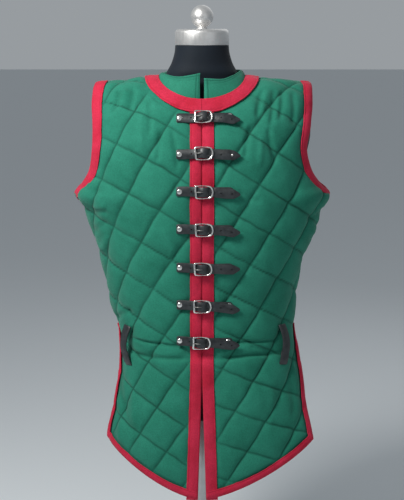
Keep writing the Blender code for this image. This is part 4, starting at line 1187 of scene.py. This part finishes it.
def make_billet(number, strap):
    """The long strap: riveted on the left, over the buckle's bar, hanging a little past it."""
    low, high = BILLET[0][0], BILLET[-1][0]
    x = np.concatenate([low + np.linspace(0, 0.0025, 4), np.linspace(low + 0.0035, high - 0.012, 82)])
    x = np.concatenate([x, np.linspace(high - 0.011, high, 14)])
    knots = np.interp(x, BILLET[:, 0], np.arange(len(BILLET)))
    out = rounded_interp(knots, BILLET[:, 0], BILLET[:, 1])
    fall = strap.droop * np.maximum(x - DROOP_FROM, 0) / (high - DROOP_FROM)
    rise = strap.start * np.clip(-x / 0.03, 0, 1)
    wave = 0.0005 * waves(x, 0 * x, (0.043, 0.029), 90 + number)
    shift = strap.shift * np.interp(x, BILLET[:, 0], BILLET[:, 2])
    here, outward, up = front_frames(x + shift, strap.z + rise - fall + wave)
    tip = np.clip((high - x) / TIP_LENGTH, 0, 1)
    start = np.clip((x - low) / 0.0030, 0, 1)
    half = STRAP_WIDTH / 2 * (0.14 + 0.86 * tip**0.8) * (0.80 + 0.20 * np.sqrt(start))
    curl = 0.0007 * waves(x, 0 * x, (0.05, 0.033), 97 + number) * (x > 0.02)
    middle = here + outward * (out + curl)[:, None]
    points, faces = swept(strap_loops(middle, outward, up, half, STRAP_WALL), False)
    cutters = []
    for hole in HOLES[:2] if number == STUD else HOLES:
        k = int(np.argmin(np.abs(x - hole)))
        turn = Vector((0, 0, 1)).rotation_difference(Vector(outward[k])).to_matrix().to_4x4()
        turn.translation = Vector(here[k] + outward[k] * out[k])
        cutters.append(turn)
    leather_piece(f"billet_{number}_strap", points, faces, f"billet_{number}", cutters)


def make_chape(number, strap):
    """The short strap that holds the buckle: flat under the billet, then round the bar."""
    flat_x = np.linspace(CHAPE_END, 0.004, 30)
    turns = np.radians(np.linspace(270, 60, 16))
    x = np.concatenate([flat_x, CHAPE_EYE * np.cos(turns)])
    out = np.concatenate([np.full(len(flat_x), CHAPE_LOW), BAR_OUT + CHAPE_EYE * np.sin(turns)])
    lift = strap.chape * np.clip(x / CHAPE_END, 0, 1)
    here, outward, up = front_frames(x + strap.shift * np.clip((0.034 - x) / 0.01, 0, 1), strap.z + lift)
    half = np.full(len(x), STRAP_WIDTH / 2 - 0.0004)
    half[:4] -= (0.0026, 0.0012, 0.0005, 0.0002)
    middle = here + outward * out[:, None]
    ahead = unit(np.gradient(middle, axis=0))
    facing = toward(np.cross(ahead, up), outward)
    facing[len(flat_x) + 4 :] *= -1  # the wall turns over here, just before the eye's far side
    points, faces = swept(strap_loops(middle, facing, up, half, CHAPE_WALL), False)
    leather_piece(f"chape_{number}_strap", points, faces, f"chape_{number}")


def tube(course, radii, closed, sides=12, squash=1.0):
    """Points and faces of a round wire along a course that lies nearly in one plane (facing +Z)."""
    course = np.asarray(course, float)
    if closed:
        ahead = unit(np.roll(course, -1, 0) - np.roll(course, 1, 0))
    else:
        ahead = unit(np.gradient(course, axis=0))
    reference = np.array((0.0, 0.0, 1.0)) if abs(ahead[:, 2]).max() < 0.9 else np.array((0.0, 1.0, 0.0))
    across = unit(np.cross(ahead, reference))
    over = np.cross(across, ahead)
    turn = np.linspace(0, 2 * math.pi, sides, endpoint=False)
    cos, sin = np.cos(turn)[None, :, None], (squash * np.sin(turn))[None, :, None]
    ring = across[:, None] * cos + over[:, None] * sin
    return swept(course[:, None] + ring * np.asarray(radii, float)[:, None, None], closed)


def smooth_loop(corners, count, closed=True):
    """A smooth curve through corner points, with count points to each stretch."""
    corners = np.asarray(corners, float)
    total = len(corners)
    stretches = total if closed else total - 1
    made = []
    for k in range(stretches):
        pick = [(k + m) % total if closed else min(max(k + m, 0), total - 1) for m in (-1, 0, 1, 2)]
        made += [spline(*corners[pick], t) for t in np.arange(count) / count]
    if not closed:
        made.append(corners[-1])
    return np.array(made)


def strap_matrix(z, shift):
    """The frame of a buckle near the front edge: x across, y up the garment, z outward."""
    here, outward, _ = front_frames(np.array([GAP]), np.array([z]))
    out = Vector((0, outward[0][1], outward[0][2])).normalized()
    across = Vector((1, 0, 0))
    made = Matrix((across, out.cross(across), out)).transposed().to_4x4()
    made.translation = Vector((shift, here[0][1], here[0][2]))
    return made


def moved(matrix, points):
    turn = np.array(matrix.to_3x3())
    return np.asarray(points) @ turn.T + np.array(matrix.translation)


def make_buckle(number, strap):
    """A centre-bar buckle: a stout straight bar on the left, thin rails, a bowed right side."""
    w, h, lift = BUCKLE_HALF_WIDTH, BUCKLE_HALF_HEIGHT, BUCKLE_OUT
    lean = BUCKLE_LEAN[number - 1]
    corners = [(-w + lean, -h * 0.86, lift), (-w, -h * 0.3, lift + 0.0003)]
    corners += [(-w - lean, h * 0.4, lift + 0.0003), (-w - lean * 0.6, h * 0.88, lift)]
    corners += [(-w * 0.72, h, lift - 0.0003), (-w * 0.1, h * 1.02, lift - 0.0010)]
    for degrees in (62, 36, 12, -12, -36, -62):
        turn = math.radians(degrees)
        corners.append((w * 0.40 + w * 0.68 * math.cos(turn), h * math.sin(turn) * 1.02, lift))
    corners += [(-w * 0.1, -h * 1.02, lift - 0.0010), (-w * 0.72, -h, lift - 0.0003)]
    course = smooth_loop(corners, 5)
    right = np.clip((course[:, 0] - 0.2 * w) / (0.7 * w), 0, 1)
    stout = np.exp(-(((course[:, 0] + w) / 0.0030) ** 2)) + 0.75 * right
    points, faces = tube(course, 0.0009 + 0.0009 * np.clip(stout, 0, 1), True, 14, 0.85)
    stops = ((-h, lift - 0.001), (-h * 0.84, BAR_OUT), (0, BAR_OUT), (h * 0.84, BAR_OUT), (h, lift - 0.001))
    bar = smooth_loop([(0, y, z) for y, z in stops], 6, False)
    more, more_faces = tube_upright(bar, np.full(len(bar), BAR_RADIUS))
    count = len(points)
    matrix = strap_matrix(strap.z, strap.shift)
    points = moved(matrix, np.concatenate([points, more]))
    faces = list(faces) + [[n + count for n in face] for face in more_faces]
    closed_piece(f"buckle_{number}_frame", points, faces, NICKEL, "nickel", f"buckle_{number}")
    eye = [(0.0012, 0, BAR_OUT - 0.0016), (0.0020, 0, BAR_OUT + 0.0008), (0.0004, 0, BAR_OUT + 0.0034)]
    eye += [(-0.0022, 0, 0.0132), (-0.0060, 0, 0.0139), (-0.0110, 0, 0.0124)]
    eye.append((-w - 0.0016, 0, lift + 0.0024))
    course = smooth_loop(eye, 6, False)
    last = len(course) - 1
    radii = np.interp(np.arange(last + 1), (0, last - 7, last), (0.0009, 0.0008, 0.0006))
    points, faces = tube(course[:, [0, 2, 1]], radii, False, 10)
    points = moved(matrix, points[:, [0, 2, 1]])
    # the prong takes the darker nickel: painted shade
    closed_piece(f"prong_{number}_wire", points, faces, PRONG_SHADE_METAL, "nickel", f"prong_{number}")


def tube_upright(course, radii, sides=10):
    """A round wire along a course that runs mostly along Y."""
    points, faces = tube(np.asarray(course)[:, [1, 0, 2]], radii, False, sides)
    return points[:, [1, 0, 2]], faces


def lathe(profile, sides):
    """Points and faces of a turned solid; profile is (radius, height) from top axis to bottom axis."""
    profile = np.asarray(profile, float)
    turn = np.linspace(0, 2 * math.pi, sides, endpoint=False)
    ring = np.stack([np.cos(turn), np.sin(turn)], -1)
    body = profile[1:-1]
    heights = np.broadcast_to(body[:, None, 1:], (len(body), sides, 1))
    points = np.concatenate([body[:, None, :1] * ring[None], heights], -1).reshape(-1, 3)
    faces = grid_quads(len(body), sides, wrap_columns=True).tolist()
    top, low = len(points), len(points) + 1
    points = np.concatenate([points, [(0, 0, profile[0][1]), (0, 0, profile[-1][1])]])
    last = (len(body) - 1) * sides
    for k in range(sides):
        n = (k + 1) % sides
        faces.append([top, n, k])
        faces.append([low, last + k, last + n])
    return points, faces


def make_rivet(name, radius, rise, x, z, out):
    """A domed rivet head with a thin flange."""
    turns = np.radians(np.arange(12, 91, 13))
    profile = [(0.0, radius * rise)]
    profile += [(radius * 0.94 * math.sin(a), radius * (0.12 + (rise - 0.12) * math.cos(a))) for a in turns]
    profile += [(radius, radius * 0.09), (radius, 0.0), (0.0, 0.0)]
    points, faces = lathe(profile, 24)
    here, outward, _ = front_frames(np.array([x]), np.array([z]))
    turn = Vector((0, 0, 1)).rotation_difference(Vector(outward[0])).to_matrix().to_4x4()
    turn.translation = Vector(here[0] + outward[0] * out)
    closed_piece(name + "_head", moved(turn, points), faces, NICKEL, "nickel", name)


def make_fastenings():
    for number, strap in enumerate(STRAPS, 1):
        make_billet(number, strap)
        make_chape(number, strap)
        make_buckle(number, strap)
        top = BILLET[0][1] + STRAP_WALL / 2 + 0.0001
        name = f"chape_rivet_{number}"
        make_rivet(f"rivet_{number}", RIVET_RADIUS, RIVET_RISE, RIVET_X, strap.z + strap.start, top)
        if number == STUD:
            z = strap.z - strap.droop * 0.73
            out = BILLET[-2][1] + STRAP_WALL / 2 + 0.0001
            make_rivet(name, STUD_RADIUS, RIVET_RISE, strap.rivet_x, z, out)
        elif strap.rivet_x:
            z = strap.z + strap.chape + 0.0012
            out = CHAPE_LOW + 0.0010
            make_rivet(name, RIVET_RADIUS, HIDDEN_RIVET_RISE, strap.rivet_x, z, out)


BELT_LOOP_HALF_WIDTH, BELT_LOOP_WALL = 0.0088, 0.0026
Loop = namedtuple("Loop", "name side x top bottom proud")
BELT_LOOPS = (
    Loop("belt_loop_left", -1, 0.1325, 0.507, 0.434, 0.0120),
    Loop("belt_loop_right", 1, 0.1450, 0.509, 0.438, 0.0110),
)


def make_belt_loops():
    """Leather loops at the waist, sewn down at both ends and standing proud between."""
    for loop in BELT_LOOPS:
        share = np.linspace(-0.01, 1.01, 46)
        z = loop.top + (loop.bottom - loop.top) * share
        inside = np.clip(share, 0, 1)
        out = 0.0030 + loop.proud * np.sin(math.pi * inside) ** 0.85
        x = loop.side * loop.x + 0.0025 * (share - 0.5)
        here, outward, up = front_frames(x, z)
        middle = here + outward * out[:, None]
        across = unit(np.cross(up, outward))
        ahead = unit(np.gradient(middle, axis=0))
        facing = toward(np.cross(ahead, across), outward)
        half = np.full(len(z), BELT_LOOP_HALF_WIDTH)
        half[[0, -1]] -= 0.0008
        points, faces = swept(strap_loops(middle, facing, across, half, BELT_LOOP_WALL), False)
        leather_piece(loop.name + "_strap", points, faces, loop.name)


# ---------------------------------------------------------------- dress form and stand
FORM_RINGS = np.array(
    (
        # z; half width; depths in front and behind
        (0.331, 0.138, 0.092, 0.084),
        (0.400, 0.137, 0.096, 0.084),
        (0.470, 0.130, 0.094, 0.080),
        (0.530, 0.136, 0.098, 0.083),
        (0.600, 0.148, 0.104, 0.090),
        (0.680, 0.160, 0.110, 0.099),
        (0.750, 0.174, 0.113, 0.102),
        (0.800, 0.188, 0.108, 0.101),
        (0.845, 0.199, 0.099, 0.096),
        (0.880, 0.199, 0.088, 0.088),
        (0.910, 0.193, 0.074, 0.077),
        (0.926, 0.170, 0.060, 0.062),
        (0.935, 0.140, 0.054, 0.054),
        (0.941, 0.098, 0.051, 0.050),
        (0.946, 0.080, 0.051, 0.050),
        (0.955, 0.070, 0.051, 0.050),
        (0.967, 0.0640, 0.053, 0.051),
        (0.982, 0.0560, 0.051, 0.050),
        (1.000, 0.0505, 0.050, 0.050),
        (1.0142, 0.0490, 0.049, 0.049),
    )
)
FORM_ROUNDNESS, FORM_SIDES = 2.2, 96


def make_form():
    """The dress form's body and neck as one smooth loft."""
    knots = np.arange(len(FORM_RINGS))
    fine = np.linspace(0, len(knots) - 1, 150)
    z, half, front, back = (rounded_interp(fine, knots, FORM_RINGS[:, k])[:, None] for k in range(4))
    turn = np.linspace(0, 2 * math.pi, FORM_SIDES, endpoint=False)[None, :]
    c, s = np.cos(turn), np.sin(turn)
    x = half * np.sign(c) * np.abs(c) ** (2 / FORM_ROUNDNESS)
    y = np.where(s > 0, back, front) * np.sign(s) * np.abs(s) ** (2 / FORM_ROUNDNESS)
    points, faces = swept(np.stack(np.broadcast_arrays(x, y, z), -1), False)
    closed_piece("form_body_cover", points, faces, COVER, "form_cover", "form_body")


def round_corner(radius_out, height, corner, start, stop, count=6):
    """Points of a rounded corner of a turned profile: degrees from start to stop."""
    turns = np.radians(np.linspace(start, stop, count))
    across, up = radius_out - corner, height - corner
    return [(across + corner * math.cos(a), up + corner * math.sin(a)) for a in turns]


def turned_size(node):
    """The bottom, top and radius of a packed turned solid."""
    low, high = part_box(node)
    return low.z, high.z, high.x


FINIAL_NECK, FINIAL_FOOT = 0.0085, 0.0105  # radii
SOCKET, SOCKET_RIM = 0.022, 0.024  # radii of the flat middle of the base and of its step


def make_stand():
    """Neck cap, ball finial, pole and base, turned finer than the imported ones."""
    cap_low, cap_high, cap_radius = turned_size("neck_cap")
    profile = [(0.0, cap_high), (cap_radius - 0.010, cap_high)]
    profile += round_corner(cap_radius, cap_high, 0.007, 90, 0)
    profile += [(cap_radius, cap_low + 0.0016), (cap_radius - 0.0006, cap_low), (0.0, cap_low)]
    ball_low, ball_high, ball = turned_size("finial")
    centre = ball_high - ball
    foot = math.asin(FINIAL_NECK / ball)
    finial = [(ball * math.sin(a), centre + ball * math.cos(a)) for a in np.linspace(0, math.pi - foot, 34)]
    finial[0] = (0.0, ball_high)
    finial += [(FINIAL_NECK, ball_low + 0.0016), (FINIAL_FOOT, ball_low + 0.0012)]
    finial += [(FINIAL_FOOT, ball_low), (0.0, ball_low)]
    pole_low, pole_high, pole_radius = turned_size("pole")
    pole = [(0.0, pole_high), (pole_radius - 0.001, pole_high), (pole_radius, pole_high - 0.001)]
    pole += [(pole_radius, pole_low + 0.001), (pole_radius, pole_low), (0.0, pole_low)]
    _, base_high, base_radius = turned_size("base")
    base = [(0.0, base_high), (SOCKET, base_high), (SOCKET_RIM, base_high - 0.001)]
    base += [(SOCKET_RIM, base_high - 0.0014), (base_radius * 0.55, base_high - 0.003)]
    base += round_corner(base_radius, base_high - 0.004, 0.008, 88, 0)
    base += [(base_radius, 0.002), (base_radius - 0.002, 0.0), (0.0, 0.0)]
    turned = (
        ("neck_cap", profile, 96, CAP_METAL, "cap_metal"),
        ("finial", finial, 64, CAP_METAL, "cap_metal"),
        ("pole", pole, 48, STEEL, "stand_metal"),
        ("base", base, 96, STEEL, "stand_metal"),
    )
    for node, shape, sides, finish, slot in turned:
        piece = closed_piece(node + "_turned", *lathe(shape, sides), finish, slot, node)
        piece.data.set_sharp_from_angle(angle=math.radians(40))


# ---------------------------------------------------------------- studio
FLOOR_REACH = 40.0
CAMERA_PLACE, CAMERA_PITCH, CAMERA_LENS = (0.0, -2.5, 1.031), 81.0, 97.3


def make_studio():
    """A wide pale floor, soft lights, a pale surrounding and the camera."""
    corners = [(x * FLOOR_REACH, y * FLOOR_REACH, 0.0) for x, y in ((-1, -1), (1, -1), (1, 1), (-1, 1))]
    mesh = bpy.data.meshes.new("studio_floor")
    mesh.from_pydata(corners, [], [(0, 1, 2, 3)])
    floor = linked("studio_floor", mesh)
    made, _, _, shader = new_material("studio_floor")
    fill(shader, {"Base Color": (0.80, 0.84, 0.87, 1.0), "Roughness": 0.9})
    mesh.materials.append(made)
    lights = (
        # name, place, aim, size, power, colour
        ("key", (-0.80, -0.85, 1.75), (0.0, 0.0, 0.90), 0.45, 25.0, (1.0, 0.99, 0.96)),
        ("fill", (1.6, -2.2, 1.3), (0.0, 0.0, 0.6), 1.8, 3.0, (0.93, 0.97, 1.0)),
        ("back", (0.9, 1.8, 2.0), (0.0, 0.0, 0.9), 1.8, 4.5, (1.0, 1.0, 1.0)),
    )
    for name, spot, aim, size, power, colour in lights:
        data = bpy.data.lights.new(name, "AREA")
        data.shape, data.size, data.energy, data.color = "SQUARE", size, power, colour
        light = linked(name, data)
        light.location = spot
        light.rotation_euler = (Vector(aim) - Vector(spot)).to_track_quat("-Z", "Y").to_euler()
    world = bpy.data.worlds.new("studio")
    world.use_nodes = True
    nodes, links = world.node_tree.nodes, world.node_tree.links
    backdrop = nodes["Background"]
    backdrop.inputs["Color"].default_value = (0.84, 0.90, 0.95, 1.0)
    parts = nodes.new("ShaderNodeSeparateXYZ")
    links.new(nodes.new("ShaderNodeTexCoord").outputs["Generated"], parts.inputs["Vector"])
    level = nodes.new("ShaderNodeMapRange")
    for socket, value in (("From Min", -1.0), ("From Max", 1.0), ("To Min", 0.21), ("To Max", 0.37)):
        level.inputs[socket].default_value = value
    links.new(parts.outputs["Y"], level.inputs["Value"])
    links.new(level.outputs["Result"], backdrop.inputs["Strength"])
    bpy.context.scene.world = world
    bpy.context.scene.view_settings.view_transform = "Standard"
    data = bpy.data.cameras.new("camera")
    data.lens, data.sensor_width = CAMERA_LENS, 36.0
    camera = linked("camera", data)
    camera.location = CAMERA_PLACE
    camera.rotation_euler = (math.radians(CAMERA_PITCH), 0.0, 0.0)
    bpy.context.scene.camera = camera


make_panels()
make_bindings()
make_collar()
make_fastenings()
make_belt_loops()
make_form()
make_stand()
make_studio()
